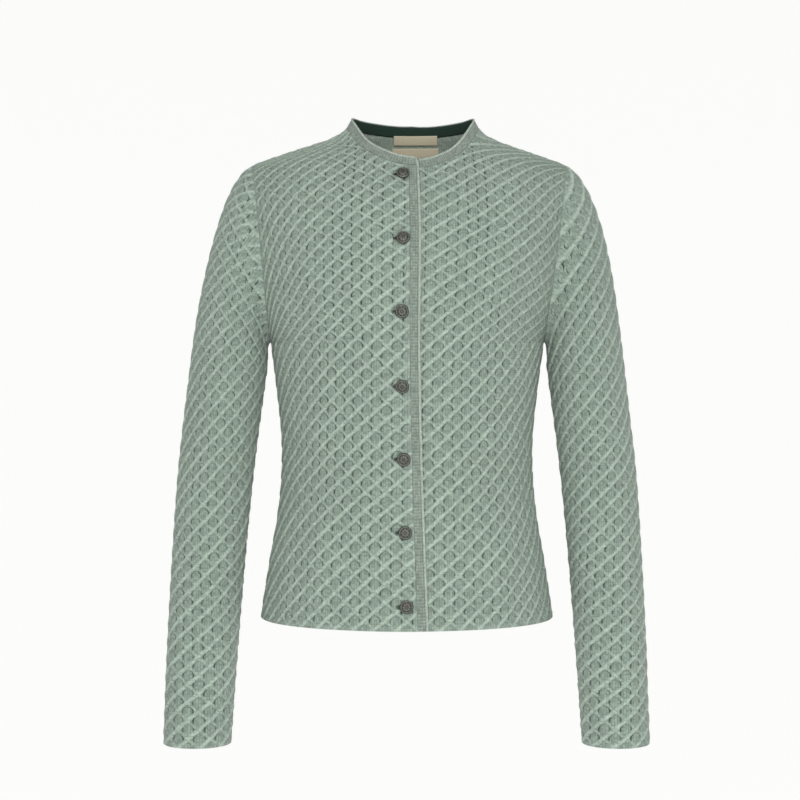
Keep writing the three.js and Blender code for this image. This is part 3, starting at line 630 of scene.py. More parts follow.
def ring_of(grid):
    """The indices or values round a grid's edge, anticlockwise from its lower left corner."""
    return np.concatenate([grid[0, :-1], grid[:-1, -1], grid[-1, :0:-1], grid[:0:-1, 0]])


def quads_of(index):
    return np.stack([index[:-1, :-1], index[:-1, 1:], index[1:, 1:], index[1:, :-1]], -1).reshape(-1, 4)


def knit_shell(name, base, normal, knit, closer=0):
    """A panel of the lattice knitting, free at its bottom and sewn in along its other edges.

    base and normal are its outer face and its directions, and knit the place of each point in the
    cloth. closer says how many millimetres of the lattice have been drawn in below each point."""
    u, v = knit[..., 0], knit[..., 1]
    height, rib = knit_relief(u, v + closer)
    sewn = knit[:, :1], knit[-1:], knit[:, -1:]
    seam = np.min([np.linalg.norm(knit - edge, axis=-1) for edge in sewn], 0)
    near_seam = 1 - blend(0, SEAM_REACH, seam)
    near_hem = 1 - blend(HEM_REACH / 2, HEM_REACH, np.linalg.norm(knit - knit[:1], axis=-1))
    height = height * (1 - near_seam) + (GROUND - SEAM_DIP) * near_seam
    height = height * (1 - near_hem) + (GROUND - HEM_DIP) * near_hem
    outer = base + normal * (height - GROUND)[..., None]
    middle = base - normal * CLOTH / 2
    middle[0] += unit(base[0] - base[1]) * EDGE_ROUND
    inner = (base - normal * CLOTH)[::LINING_STEP, ::LINING_STEP]

    rim = ring_of(middle)
    outside = np.arange(u.size).reshape(u.shape)
    rim_index = u.size + np.arange(len(rim))
    inside = u.size + len(rim) + np.arange(inner[..., 0].size).reshape(inner.shape[:2])
    edge, inner_edge = ring_of(outside), ring_of(inside)
    next_edge, next_rim = np.roll(edge, -1), np.roll(rim_index, -1)
    sides = np.stack([next_edge, edge, rim_index, next_rim], -1)
    hub = np.repeat(inner_edge, LINING_STEP)
    fans = np.stack([next_rim, rim_index, hub], -1)
    last = next_rim[LINING_STEP - 1 :: LINING_STEP]
    closing = np.stack([last, inner_edge, np.roll(inner_edge, -1)], -1)
    faces = [quads_of(outside), sides, fans, closing, quads_of(inside)[:, ::-1]]
    skin = np.repeat([0, 0, 0, 1, 1], [len(part) for part in faces])
    corners = np.concatenate([outer.reshape(-1, 3), rim, inner.reshape(-1, 3)])
    made = mesh_object(name, corners, faces, [face_wool, back_wool], skin)
    places = [knit.reshape(-1, 2), ring_of(knit), knit[::LINING_STEP, ::LINING_STEP].reshape(-1, 2)]
    places = np.concatenate(places)
    # rise places the material's painted shade in the pits, and rib its painted highlight on the crests
    share = np.clip((height + PIT_DEPTH) / (GROUND + PIT_DEPTH), 0, 1)
    shares = [share.ravel(), ring_of(share), np.full(inner[..., 0].size, 0.6)]
    ribs = np.concatenate([rib.ravel(), ring_of(rib), np.zeros(inner[..., 0].size)])
    store(made, "knit", np.column_stack([places, np.zeros(len(places))]))
    store(made, "rise", np.concatenate(shares))
    store(made, "rib", ribs)
    return made


def body_panel(name, wall, knit):
    """A front or the back, with the lattice drawn closer towards the shoulders."""
    u, v = knit[..., 0], knit[..., 1]
    base = wall(u, v, 0)
    return knit_shell(name, base, wall(u, v, 1) - base, knit, smooth(CLOSER, "rows", v))


def store(piece, name, values):
    """Keeps values at a mesh's points for its material, as numbers or as vectors."""
    kind, key = ("FLOAT_VECTOR", "vector") if values.ndim > 1 else ("FLOAT", "value")
    attribute = piece.data.attributes.new(name, kind, "POINT")
    attribute.data.foreach_set(key, values.astype(np.float32).ravel())


def declare_panel(piece, node):
    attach(piece, "root")
    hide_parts(node)


# Sage merino yarn, spun from fibres dyed in several greens. Each stitch is two slanting legs, so
# the surface is matt and slightly fuzzy, with painted shade between the legs and in the pits and a
# painted highlight on the ribs' crests. The inside, the wrong side of the knit, is plainer, and
# paler: partly its own plain face, partly painted lighter to stand in for the light that reaches it.
# the ribs' crests' painted highlight, the wool's own ground, the pits' painted shade, and the inside,
# partly painted paler as light
RIB_HIGHLIGHT, WOOL, WOOL_PIT_SHADE, WOOL_BACK_WITH_PAINTED_LIGHT = "#a3b4a6", "#8fa093", "#222d25", "#b0c1b3"
LEG_SLANT = 0.9  # of a stitch's height
STITCH_BUMP = 0.45
YARN_GRAIN = 2.2  # size of the light and dark of the fibres, drawn coarser than real so that it shows
WOOL_IOR = 1.54
COLUMN_SHADE = 0.72  # how dark it is between two columns of stitches
RIB_LOOP_SHADE = 0.8  # and between the loops of a rib
GROUND_RISE = 0.42  # share of the relief at which the wool has left the pits' shade
LEG_EDGE = 0.26  # from a stitch's middle, where the painted shade at its side starts
CLOUD = 90  # size of the slow changes of shade


def grey(value):
    return (value, value, value, 1)


def knit_wool(name, colours, stitch, bump, shade_between_stitches=0.62):
    """Knitted wool: colours are the crests' painted highlight, the ground's own colour and the pits'
    painted shade, stitch its width and height; the last argument is how dark the painted shade
    between a stitch's legs is.

    It has painted shade in the pits, between stitches and between their columns, and a painted
    highlight on the legs; it varies from stitch to stitch, from fibre to fibre and slowly over the cloth."""
    made, tree, shader = material(name)
    # a painted highlight for the crests, the ground's own colour, and painted shade for the pits
    crest_highlight, ground, pit = (linear(colour) for colour in colours)
    place = add_node(tree, "Attribute", {}, attribute_name="knit")["Vector"]
    rise = add_node(tree, "Attribute", {}, attribute_name="rise")["Fac"]
    on_rib = add_node(tree, "Attribute", {}, attribute_name="rib")["Fac"]
    scale = (1 / stitch[0], 1 / stitch[1], 0)
    cell = add_node(tree, "VectorMath", {0: place, 1: scale}, operation="MULTIPLY")[0]
    whole = add_node(tree, "VectorMath", {0: cell}, operation="FLOOR")[0]
    within = add_node(tree, "VectorMath", {0: cell}, operation="FRACTION")[0]
    chance = add_node(tree, "TexWhiteNoise", {"Vector": whole}, noise_dimensions="2D")["Value"]
    parts = add_node(tree, "SeparateXYZ", {0: within})
    from_middle = add_node(tree, "Math", {0: parts["X"], 1: 0.5}, operation="SUBTRACT")[0]
    leg = add_node(tree, "Math", {0: from_middle}, operation="ABSOLUTE")[0]
    across = add_node(tree, "Math", {0: leg, 1: 2 * math.pi}, operation="MULTIPLY")[0]
    round_leg = add_node(tree, "Math", {0: across}, operation="SINE")[0]
    slant = {0: leg, 1: -2 * LEG_SLANT, 2: parts["Y"]}
    slanted = add_node(tree, "Math", slant, operation="MULTIPLY_ADD")[0]
    along = add_node(tree, "Math", {0: slanted, 1: math.pi}, operation="MULTIPLY")[0]
    wave = add_node(tree, "Math", {0: along}, operation="SINE")[0]
    round_end = add_node(tree, "Math", {0: wave}, operation="ABSOLUTE")[0]
    stitches = add_node(tree, "Math", {0: round_leg, 1: round_end}, operation="MULTIPLY")[0]

    fibres = {"Vector": place, "Scale": 1 / YARN_GRAIN, "Detail": 2.0}
    clouds = {"Vector": place, "Scale": 1 / CLOUD, "Detail": 0.0}
    grain, cloudy = (add_node(tree, "TexNoise", noise)["Fac"] for noise in (fibres, clouds))
    relief = {"Value": rise, "From Min": 0.0, "From Max": GROUND_RISE}
    out_of_pit = add_node(tree, "MapRange", relief)["Result"]
    groove = {"Value": leg, "From Min": LEG_EDGE, "From Max": 0.5, "To Min": 1.0, "To Max": 0.0}
    gap = add_node(tree, "MapRange", groove)["Result"]
    column = add_node(tree, "Math", {0: gap, 1: on_rib}, operation="MAXIMUM")[0]
    # the ribs' crests are painted lighter as a highlight; the painted shade between legs differs off the
    # ribs and on them
    lit = {"Factor": on_rib, "A": ground, "B": crest_highlight}
    loops = {"Factor": on_rib, "A": grey(shade_between_stitches), "B": grey(RIB_LOOP_SHADE)}
    lit, between = (add_node(tree, "Mix", ends, data_type="RGBA")["Result"] for ends in (lit, loops))
    # painted shade in the pits
    pits = {"Factor": out_of_pit, "A": pit, "B": lit}
    colour = add_node(tree, "Mix", pits, data_type="RGBA")["Result"]
    # multiplied in turn: painted shade between the legs of stitches with a painted highlight on them,
    # painted shade between columns, then the yarn's own tone by stitch, by fibre and slowly over the cloth
    for factor, dark, light in (
        (stitches, between, 1.08),
        (column, grey(COLUMN_SHADE), 1.04),
        (chance, grey(0.80), 1.20),
        (grain, grey(0.70), 1.30),
        (cloudy, grey(0.95), 1.05),
    ):
        ends = {"Factor": factor, "A": dark, "B": grey(light)}
        shade = add_node(tree, "Mix", ends, data_type="RGBA")["Result"]
        layer = {"Factor": 1.0, "A": colour, "B": shade}
        colour = add_node(tree, "Mix", layer, data_type="RGBA", blend_type="MULTIPLY")["Result"]
    bumps = {"Strength": 1.0, "Distance": bump * MM, "Height": stitches}
    looks = {
        "Base Color": colour,
        "Normal": add_node(tree, "Bump", bumps)["Normal"],
        "Roughness": 0.92,
        "IOR": WOOL_IOR,
        "Specular IOR Level": 0.25,
        "Sheen Weight": 0.18,
        "Sheen Roughness": 0.6,
    }
    join(tree, shader, looks)
    return made


face_wool = knit_wool(
    "sage merino, lattice knit", (RIB_HIGHLIGHT, WOOL, WOOL_PIT_SHADE), (STITCH_WIDTH, STITCH_HEIGHT), STITCH_BUMP
)
# the inside is paler: partly the plain wrong side's own colour, partly painted light for the light that
# reaches it
back_wool = knit_wool(
    "sage merino, wrong side of the knit", (WOOL_BACK_WITH_PAINTED_LIGHT, WOOL_BACK_WITH_PAINTED_LIGHT, WOOL_PIT_SHADE), (2.4, 1.2), 0.5
)

QUARTER = math.pi / 2
NECK_LOW, NECK_HIGH = (-95, 480), (95, FRONT_HEIGHT)
middle_neck = under(front_face, [NECK_X], [NECK_Y - NECK_FRONT], NECK_LOW, NECK_HIGH)[0]


def neck_turn(u):
    """How far round the neck a place near the middle front lies."""
    return float(np.arcsin((front_face(u, middle_neck[1])[0] - NECK_X) / NECK_HALF_WIDTH))


over_turn = neck_turn(front_edge(middle_neck[1]))
under_turn = neck_turn(front_edge(middle_neck[1]) - OVERLAP)
neck_right = neck_seam(front_face, np.linspace(over_turn, -QUARTER, 120), NECK_LOW, NECK_HIGH)
neck_left = neck_seam(front_face, np.linspace(under_turn, QUARTER, 120), NECK_LOW, NECK_HIGH)


def aside(line, gap):
    """A line moved to its left by a gap."""
    along = unit(np.gradient(line, axis=0))
    return line + np.stack([-along[:, 1], along[:, 0]], 1) * gap


def side_edge(hand, heights, rows, total):
    """The side of a panel from its hem to the shoulder."""
    at = np.linspace(rows[0], rows[-1], 300)
    v = np.interp(np.linspace(0, 1, 300), np.linspace(0, 1, len(rows)), heights)
    v[-1] = total - TRIM
    return np.stack([hand * (row_length(at) - TRIM), v], 1)


def neck_height(neck, u):
    order = np.argsort(neck[:, 0])
    return np.interp(u, neck[order, 0], neck[order, 1])


def over_inner(v):
    return front_edge(v) - BAND_WIDTH - SEAM_GAP


def under_inner(v):
    return front_edge(v) - OVERLAP + BAND_WIDTH + SEAM_GAP


def front_knit(hand, neck, inner, columns, rows):
    """The places in the cloth of a front's grid; hand is -1 for the right front, 1 for the left."""
    side = side_edge(hand, FRONT_LENGTHS, FRONT_ROWS, FRONT_HEIGHT)
    neck_line = aside(neck, -hand * SEAM_GAP)
    neck_line[-1, 1] = side[-1, 1]
    top = neck_height(neck, inner(neck[0, 1])) - SEAM_GAP
    height = np.linspace(0, top, 200)
    edge = np.stack([inner(height), height], 1)
    curve = neck_line[hand * (neck_line[:, 0] - inner(neck_line[:, 1])) > 0.4]
    curve = np.concatenate([edge[-1:], curve])
    shoulder = np.stack([curve[-1], side[-1]])
    hem = np.stack([edge[0], side[0]])
    if hand > 0:
        lines = hem, side, [curve, shoulder], edge
    else:
        lines = hem[::-1], edge, [shoulder[::-1], curve[::-1]], side
    bottom, right, top_parts, left = lines
    return patch(
        evenly(bottom, columns), evenly(right, rows), in_parts(top_parts, columns), evenly(left, rows)
    )


COLUMNS_RIGHT, COLUMNS_LEFT, ROWS_FRONT = 156, 147, 441
knit = front_knit(-1, neck_right, over_inner, COLUMNS_RIGHT, ROWS_FRONT)
front_right = body_panel("front_right_knit", right_wall, knit)

# The buttonholes are knitted slots that lie across the front and are open right through. The shank
# of each button stands at the end nearer the edge.
BUTTON_COUNT, BUTTON_PITCH, BUTTON_FROM_HEM = 7, 78, 25
HOLE_LENGTH, HOLE_WIDTH, HOLE_STEPS = 11, 4.2, 48
HOLE_DEPTHS = -6.0, 4.0  # the cutter reaches past both faces of the cloth
button_v = BUTTON_FROM_HEM + BUTTON_PITCH * np.arange(BUTTON_COUNT)
button_u = smooth(CLOSURE, "button", button_v)


def slot_line(place, grow):
    """Places in the cloth round a buttonhole, moved out by grow."""
    turn = np.linspace(0, 2 * np.pi, HOLE_STEPS, endpoint=False)
    radius = HOLE_WIDTH / 2
    middle = place[0] - HOLE_LENGTH / 2 + radius
    reach = (HOLE_LENGTH / 2 - radius) * np.tanh(8 * np.cos(turn))
    return np.stack(
        [middle + reach + (radius + grow) * np.cos(turn), place[1] + (radius + grow) * np.sin(turn)], -1
    )


cutters = []
for place in zip(button_u, button_v):
    line = slot_line(place, 0)
    cutters.append(np.stack([right_wall(*line.T, np.full(HOLE_STEPS, w)) for w in HOLE_DEPTHS]))
index, _, walls = rings_of(2, HOLE_STEPS)
ends = index[:1, ::-1], index[1:]
first_corner = 2 * HOLE_STEPS * np.arange(BUTTON_COUNT)[:, None, None]
cutter = mesh_object(
    "buttonhole_cutter",
    np.concatenate([part.reshape(-1, 3) for part in cutters]),
    [(part + first_corner).reshape(-1, part.shape[-1]) for part in (walls, *ends)],
)
cut = front_right.modifiers.new("buttonholes", "BOOLEAN")
cut.operation, cut.solver, cut.object = "DIFFERENCE", "MANIFOLD", cutter
cut_front = front_right.evaluated_get(bpy.context.evaluated_depsgraph_get())
uncut_mesh = front_right.data
front_right.data = bpy.data.meshes.new_from_object(cut_front)
front_right.modifiers.clear()
bpy.data.meshes.remove(uncut_mesh)
bpy.data.objects.remove(cutter)
declare_panel(front_right, "front_right")

# The left front is the same knitting, made flat and sewn in, without buttonholes. It lies under
# the right one, which hides its edge.
knit = front_knit(1, neck_left, under_inner, COLUMNS_LEFT, ROWS_FRONT)
declare_panel(body_panel("front_left_knit", left_wall, knit), "front_left")

# The back is one piece of the same knitting, from side seam to side seam. Inside it shows the
# wrong side of the knit above the front's neck.
COLUMNS_BACK, ROWS_BACK = 216, 360


def back_row(v):
    return row_at(v, BACK_LENGTHS, BACK_ROWS)


def back_face(u, v):
    """The back's outer face; seen from behind, u runs to the right."""
    return body_point(-u / row_length(back_row(v)), back_row(v))


BACK_FOLDS = [
    (-95, 235, 120, 13, 12, -1.9),
    (-70, 208, 95, 11, 5, 1.3),
    (-106, 181, 100, 13, -8, -1.5),
    (88, 228, 112, 13, -10, -1.8),
    (73, 200, 88, 12, -4, 1.2),
    (108, 175, 94, 12, 9, -1.4),
    (6, 218, 100, 15, 3, -1.3),
    (-110, 60, 120, 16, 96, -1.6),
    (-47, 53, 112, 15, 88, -1.2),
    (26, 58, 128, 16, 93, -1.4),
    (98, 50, 108, 15, 85, -1.5),
    (-122, 395, 100, 13, -53, -1.8),
    (118, 390, 104, 13, 54, -1.7),
    (-60, 430, 110, 16, 80, -1.0),
    (64, 438, 98, 16, 98, -1.0),
]


back_wall = body_wall(back_face, back_row, panel_folds(BACK_FOLDS, back_row))
neck_back = neck_seam(
    back_face, np.linspace(-QUARTER, -3 * QUARTER, 240), (-95, BACK_HEIGHT - 60), (95, BACK_HEIGHT)
)
side = side_edge(1, BACK_LENGTHS, BACK_ROWS, BACK_HEIGHT)
neck_line = aside(neck_back, 2 * TRIM)
neck_line[0, 1] = neck_line[-1, 1] = side[-1, 1]
mirrored = side * (-1, 1)
knit = patch(
    evenly(np.stack([mirrored[0], side[0]]), COLUMNS_BACK),
    evenly(side, ROWS_BACK),
    in_parts(
        [np.stack([mirrored[-1], neck_line[-1]]), neck_line[::-1], np.stack([neck_line[0], side[-1]])],
        COLUMNS_BACK,
    ),
    evenly(mirrored, ROWS_BACK),
)
declare_panel(body_panel("back_knit", back_wall, knit), "back")

# The two sleeves are knitted flat, closed by a seam under the arm, and sewn into the armholes.
# Towards the cuff the knitting is pulled wider, so its diamonds are broader.
COLUMNS_SLEEVE, ROWS_TUBE, ROWS_HEAD = 192, 264, 120
TUBE = BICEPS_Z - CUFF_Z
# Places across are from the outer line, to the front. Most folds lie in the bend of the elbow.
SLEEVE_FOLDS = [
    (94, 290, 84, 9, 35, -2.2),
    (86, 262, 64, 8, 20, -1.6),
    (99, 318, 74, 10, 48, -1.8),
    (58, 275, 90, 14, 30, 1.3),
    (74, 236, 72, 10, 8, -1.3),
    (70, 180, 100, 13, 62, -1.3),
    (52, 118, 86, 12, 76, -1.1),
    (28, 348, 100, 15, 70, -1.2),
    (20, 52, 80, 14, 82, -1.0),
    (82, 425, 84, 11, 56, -1.8),
    (62, 455, 74, 11, 64, 1.2),
    (-70, 276, 92, 15, -24, -1.5),
    (-52, 246, 76, 12, -14, 1.0),
    (-60, 206, 100, 14, -57, -1.2),
    (-84, 420, 86, 12, -55, -1.4),
]
FOLDS_ASIDE, FOLDS_UP = 4, 9  # the two sleeves' folds lie twice this far apart


def sleeve_grid(hand):
    """A sleeve's outer face, its directions and its places in the cloth, up from the cuff."""
    angle = np.linspace(-np.pi, np.pi, COLUMNS_SLEEVE + 1)[None] * -hand
    at = np.linspace(2, 1, ROWS_TUBE + 1)[:, None] + 0 * angle
    z = BICEPS_Z + (CUFF_Z - BICEPS_Z) * (at - 1)
    half_width = (smooth(SLEEVE, "outer", z) - smooth(SLEEVE, "inner", z)) / 2
    radius = (half_width + smooth(SLEEVE, "half_depth", z)) / 2
    stretch = smooth(SLEEVE, "stretch", z)
    trimmed = np.clip(angle, -np.pi + TRIM * stretch / radius, np.pi - TRIM * stretch / radius)
    head_steps = np.linspace(1, 0, 61)[:, None]
    column = lengths(sleeve_point(hand, trimmed[-1:], head_steps))
    total = column[-1]
    share = np.linspace(0, 1, ROWS_HEAD + 1)[1:, None] * (total - 2 * TRIM)
    head_at = np.stack(
        [np.interp(share[:, j], column[:, j], head_steps[:, 0]) for j in range(share.shape[1])], 1
    )
    at = np.concatenate([at, head_at])
    angles = np.concatenate([trimmed, np.broadcast_to(trimmed[-1:], head_at.shape)])
    v = np.concatenate([z - CUFF_Z, TUBE + share])
    across = radius / stretch
    u = -hand * angles * np.concatenate([across, np.broadcast_to(across[-1:], head_at.shape)])
    base = sleeve_point(hand, angles, at)
    around = sleeve_point(hand, angles + NUDGE, at) - sleeve_point(hand, angles - NUDGE, at)
    up = sleeve_point(hand, angles, np.maximum(at - NUDGE, 0)) - sleeve_point(hand, angles, at + NUDGE)
    normal = unit(np.cross(around, up)) * -hand
    to_edge = np.concatenate([np.full(z.shape, SEAM_BLEND), total - share])
    near = np.clip(1 - to_edge / SEAM_BLEND, 0, 1)[..., None]
    normal = unit(normal * (1 - near) + armhole_normal(hand, angles) * near)
    to_armhole = np.concatenate([np.full(z.shape, FOLD_FULL), total - share])
    to_seam = np.minimum(to_armhole, radius[-1] * np.pi - np.abs(u))
    lift = folds(SLEEVE_FOLDS, hand * (FOLDS_ASIDE - u), v - hand * FOLDS_UP, to_seam)
    base = base + normal * lift[..., None]
    return base, normal, np.stack([u, v], -1)


for hand, name in ((-1, "sleeve_right"), (1, "sleeve_left")):
    base, normal, knit = sleeve_grid(hand)
    sleeve = knit_shell(name + "_knit", base, normal, knit)
    declare_panel(sleeve, name)

# The bands that finish the fronts are knitted on, in a plain open stitch, and folded to a firm
# edge. Each follows its front, just past the lattice.
BAND_SURFACE = -0.9  # its face lies this far below the ribs beside it
FACE_POINTS, BACK_POINTS = 28, 6
BAND_STITCH = (2.5, 3.4)
# the bands' painted highlight for crests, their own ground colour, and painted shade for pits
BAND_CREST_HIGHLIGHT, BAND_WOOL, BAND_PIT_SHADE = "#b4c4b5", "#a3b3a5", "#5f7165"
BAND_STEPS, HIDDEN_STEPS = 400, 160
ROLL = 0.28  # the small rise of each column of stitches
CORD_WIDTH = 2.1  # of the cord that finishes the bands' edges

# the last number is deep painted shade between the legs of stitches, where the open stitch has holes
band_wool = knit_wool(
    "sage merino, open edging stitch", (BAND_CREST_HIGHLIGHT, BAND_WOOL, BAND_PIT_SHADE), BAND_STITCH, 0.7, 0.3
)


def band_section(width, inside):
    """Height from the seam and depth of the points round a band's section."""
    h = np.linspace(0, width, FACE_POINTS)
    w = BAND_SURFACE + ROLL * np.abs(np.sin(np.pi * h / BAND_STITCH[0]))
    back = np.linspace(width, 0, BACK_POINTS)
    return np.concatenate([h, back]), np.concatenate([w, np.full(BACK_POINTS, inside)])


def ribbon(name, stations, materials):
    """A closed strip through stations, each one outline of points, with flat ends."""
    count, around = stations.shape[:2]
    index, _, walls = rings_of(count, around)
    fan = np.arange(1, around - 1)
    start = np.stack([np.zeros_like(fan), fan + 1, fan], 1)
    end = index[-1, 0] + np.stack([np.zeros_like(fan), fan, fan + 1], 1)
    made = mesh_object(name, stations, [walls, start, end], materials)
    along = lengths(stations[:, 0])
    round_it = lengths(np.moveaxis(stations, 1, 0))[:, count // 2]
    place = np.stack(np.broadcast_arrays(round_it, along[:, None], 0.0), -1)
    store(made, "knit", place.reshape(-1, 3))
    store(made, "rise", np.full(count * around, 0.6))
    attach(made, "root")
    return made


def front_band(name, hand, wall, neck, inner, count):
    h, w = band_section(BAND_WIDTH - (CORD_WIDTH if hand > 0 else 0), -CLOTH)
    across = hand * (SEAM_GAP + h)
    top = neck_height(neck, inner(neck[0, 1]) + across) - SEAM_GAP
    v = np.linspace(0, 1, count + 1)[:, None] * top
    stations = wall(inner(v) + across, v, np.broadcast_to(w, v.shape))
    piece = ribbon(name + "_knit", stations if hand > 0 else stations[::-1], [band_wool])
    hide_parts(name)
    return piece


front_band("front_band_right", 1, right_wall, neck_right, over_inner, BAND_STEPS)
front_band("front_band_left", -1, left_wall, neck_left, under_inner, HIDDEN_STEPS)

# The neckband is the same edging, knitted on round the neck from the upper front's edge by the
# back to the lower front's edge. It stands a little more upright than the cloth below it.
NECKBAND_HEIGHT = 10.4
UPRIGHT = 0.25


def neck_line_of(wall, places):
    here = wall(places[:, 0], places[:, 1], 0)
    return here, wall(places[:, 0], places[:, 1], 1) - here


neck_parts = [
    neck_line_of(right_wall, neck_right),
    neck_line_of(back_wall, neck_back[1:-1]),
    neck_line_of(left_wall, neck_left[::-1]),
]
neck_foot, neck_normal = (np.concatenate([part[k] for part in neck_parts]) for k in (0, 1))
neck_along = unit(np.gradient(neck_foot, axis=0))
neck_rise = unit(unit(np.cross(neck_along, neck_normal)) + points(0, 0, UPRIGHT))
neck_out = unit(np.cross(neck_rise, neck_along))


def neck_point(height, w, chosen=slice(None)):
    """Points over the neck seam: height up the band and w out of its face."""
    height, w = np.asarray(height, float), np.asarray(w, float)
    share = np.clip(height / NECKBAND_HEIGHT, 0, 1)[..., None]
    turned = unit(neck_normal[chosen, None] * (1 - share) + neck_out[chosen, None] * share)
    return neck_foot[chosen, None] + neck_rise[chosen, None] * height[..., None] + turned * w[..., None]


h, w = band_section(NECKBAND_HEIGHT - CORD_WIDTH, -CLOTH)
neckband = ribbon("neckband_knit", neck_point(SEAM_GAP + h, w), [band_wool])
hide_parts("neckband")

# A fine knitted cord finishes both bands in one run: up the upper front's edge, round its corner
# and all round the neck.
CORD_CORNER = 5.0
CORD_FACE = -1.1  # its middle lies this far below the cloth's face
CORD_SIDES = 12
CORD_STITCH = (1.1, 2.6)
# the cord's colour is its own sage, painted paler as a highlight along the raised edge; the second is
# painted shade for its pits
CORD_SAGE_AND_PAINTED_LIGHT, CORD_SHADE = "#c3d0c2", "#8b9b8d"
cord_wool = knit_wool("sage merino, edge cord", (CORD_SAGE_AND_PAINTED_LIGHT, CORD_SAGE_AND_PAINTED_LIGHT, CORD_SHADE), CORD_STITCH, 0.4)


def tube(line, radii, normals, sides=CORD_SIDES):
    """Stations of an oval tube along a line; radii are across and along the normals."""
    along = unit(np.gradient(line, axis=0))
    across = unit(np.cross(normals, along))
    up = np.cross(along, across)
    turn = np.linspace(0, 2 * np.pi, sides, endpoint=False)[None, :, None]
    return (
        line[:, None]
        + across[:, None] * radii[0] * np.cos(turn)
        + up[:, None] * radii[1] * np.sin(turn)
    )


edge_top = neck_height(neck_right, front_edge(neck_right[0, 1]))
edge_v = np.linspace(0, edge_top, 420)
cord_half = CORD_WIDTH / 2
cord_u = front_edge(edge_v) - cord_half
edge_line = right_wall(cord_u, edge_v, CORD_FACE)
edge_normal = right_wall(cord_u, edge_v, CORD_FACE + 1) - edge_line
top_height = SEAM_GAP + NECKBAND_HEIGHT - cord_half
top_line = neck_point([top_height], [CORD_FACE])[:, 0]
top_normal = neck_point([top_height], [CORD_FACE + 1])[:, 0] - top_line
corner = edge_line[-1] + (top_line[0] - neck_foot[0])
keep_edge = np.linalg.norm(edge_line - corner, axis=1) > CORD_CORNER
keep_top = np.linalg.norm(top_line - corner, axis=1) > CORD_CORNER
start, end = edge_line[keep_edge][-1], top_line[keep_top][0]
f = np.linspace(0, 1, 12)[1:-1, None]
bend = start * (1 - f) ** 2 + corner * 2 * f * (1 - f) + end * f * f
bend_normal = unit(edge_normal[keep_edge][-1] * (1 - f) + top_normal[keep_top][0] * f)
cord_line = np.concatenate([edge_line[keep_edge], bend, top_line[keep_top]])
cord_normal = np.concatenate([edge_normal[keep_edge], bend_normal, top_normal[keep_top]])
ribbon("edge_cord", tube(cord_line, (cord_half + 0.15, 1.05), cord_normal), [cord_wool])

# The seams are linked with the same yarn, which closes them just below the face of the knitting.
# A round of the same stitches edges each buttonhole.
SEAM_RADII, SEAM_SIDES = (0.95, 0.6), 6
# how far out from the cloth's face the yarn lies
BAND_SEAM, SIDE_SEAM, SHOULDER_SEAM, HOLE_ROUND = -1.7, -1.5, -1.3, -0.9
# its pits take the bands' painted shade
seam_wool = knit_wool("sage merino, linked seam", (WOOL, WOOL, BAND_PIT_SHADE), CORD_STITCH, 0.3)


def yarn(name, line, normals, radii=SEAM_RADII):
    ribbon(name, tube(line, radii, normals, SEAM_SIDES), [seam_wool])


def seam(name, wall, u, v, w, radii=SEAM_RADII):
    line = wall(u, v, np.full(u.shape, w))
    yarn(name, line, wall(u, v, np.full(u.shape, w + 1.0)) - line, radii)


height = np.linspace(0, 1, 160)
seam("seam_band_right", right_wall, over_inner(height * edge_top) + 0.15, height * edge_top, BAND_SEAM)
seam("seam_band_left", left_wall, under_inner(height * edge_top) - 0.15, height * edge_top, BAND_SEAM)
side_v = np.linspace(0, FRONT_LENGTHS[60], 120)
shoulder_u = np.linspace(NECK_HALF_WIDTH + 1, row_length(2.0) - 1, 60)
for hand, side in ((-1, "right"), (1, "left")):
    seam("seam_side_" + side, left_wall, hand * row_length(front_row(side_v)), side_v, SIDE_SEAM)
    top = np.full(shoulder_u.shape, float(FRONT_HEIGHT))
    seam("seam_shoulder_" + side, left_wall, hand * shoulder_u, top, SHOULDER_SEAM)
    angle = np.linspace(-np.pi, np.pi, 200)
    normals = armhole_normal(hand, angle)
    yarn("seam_armhole_" + side, sleeve_point(hand, angle, 0) + normals * SHOULDER_SEAM, normals)
yarn("seam_neck", neck_point([0.0], [BAND_SEAM])[:, 0], neck_normal)
for i, place in enumerate(zip(button_u, button_v)):
    ring = slot_line(place, 0.5)
    ring = np.concatenate([ring, ring[:1]])
    seam(f"buttonhole_{i + 1}_stitches", right_wall, ring[:, 0], ring[:, 1], HOLE_ROUND, (0.75, 0.75))

# A woven tape in dark green covers the seam inside the back of the neck, shoulder to shoulder.
# Its fine ribs across make it matt, with little light on it.
TAPE_FOOT, TAPE_HEIGHT, TAPE_THICKNESS = -1.6, 11.8, 1.0
TAPE_GREEN, TAPE_SHADE = "#1d3b2f", "#122a20"
TAPE_RIB = 0.9
TAPE_POINTS = 8

first, last = len(neck_right) - 1, len(neck_right) + len(neck_back) - 2
tape_h = np.linspace(TAPE_FOOT, TAPE_FOOT + TAPE_HEIGHT, TAPE_POINTS)
near = -CLOTH - SEAM_GAP
tape_bulge = 0.25 * np.sin(np.pi * np.linspace(0, 1, TAPE_POINTS))
tape_w = np.concatenate([np.full(TAPE_POINTS, near), near - TAPE_THICKNESS * (0.7 + tape_bulge[::-1])])
tape_h = np.concatenate([tape_h, tape_h[::-1]])
tape_material, tape_tree, tape_shader = material("dark green grosgrain tape")
tape_place = add_node(tape_tree, "Attribute", {}, attribute_name="knit")["Vector"]
tape_wave = {"Vector": tape_place, "Scale": 2 * math.pi / TAPE_RIB / 20, "Distortion": 0.3}
tape_ribs = add_node(tape_tree, "TexWave", tape_wave, bands_direction="Y")["Fac"]
tape_shades = {"Factor": tape_ribs, "A": linear(TAPE_SHADE), "B": linear(TAPE_GREEN)}
tape_bumps = {"Distance": 0.2 * MM, "Height": tape_ribs}
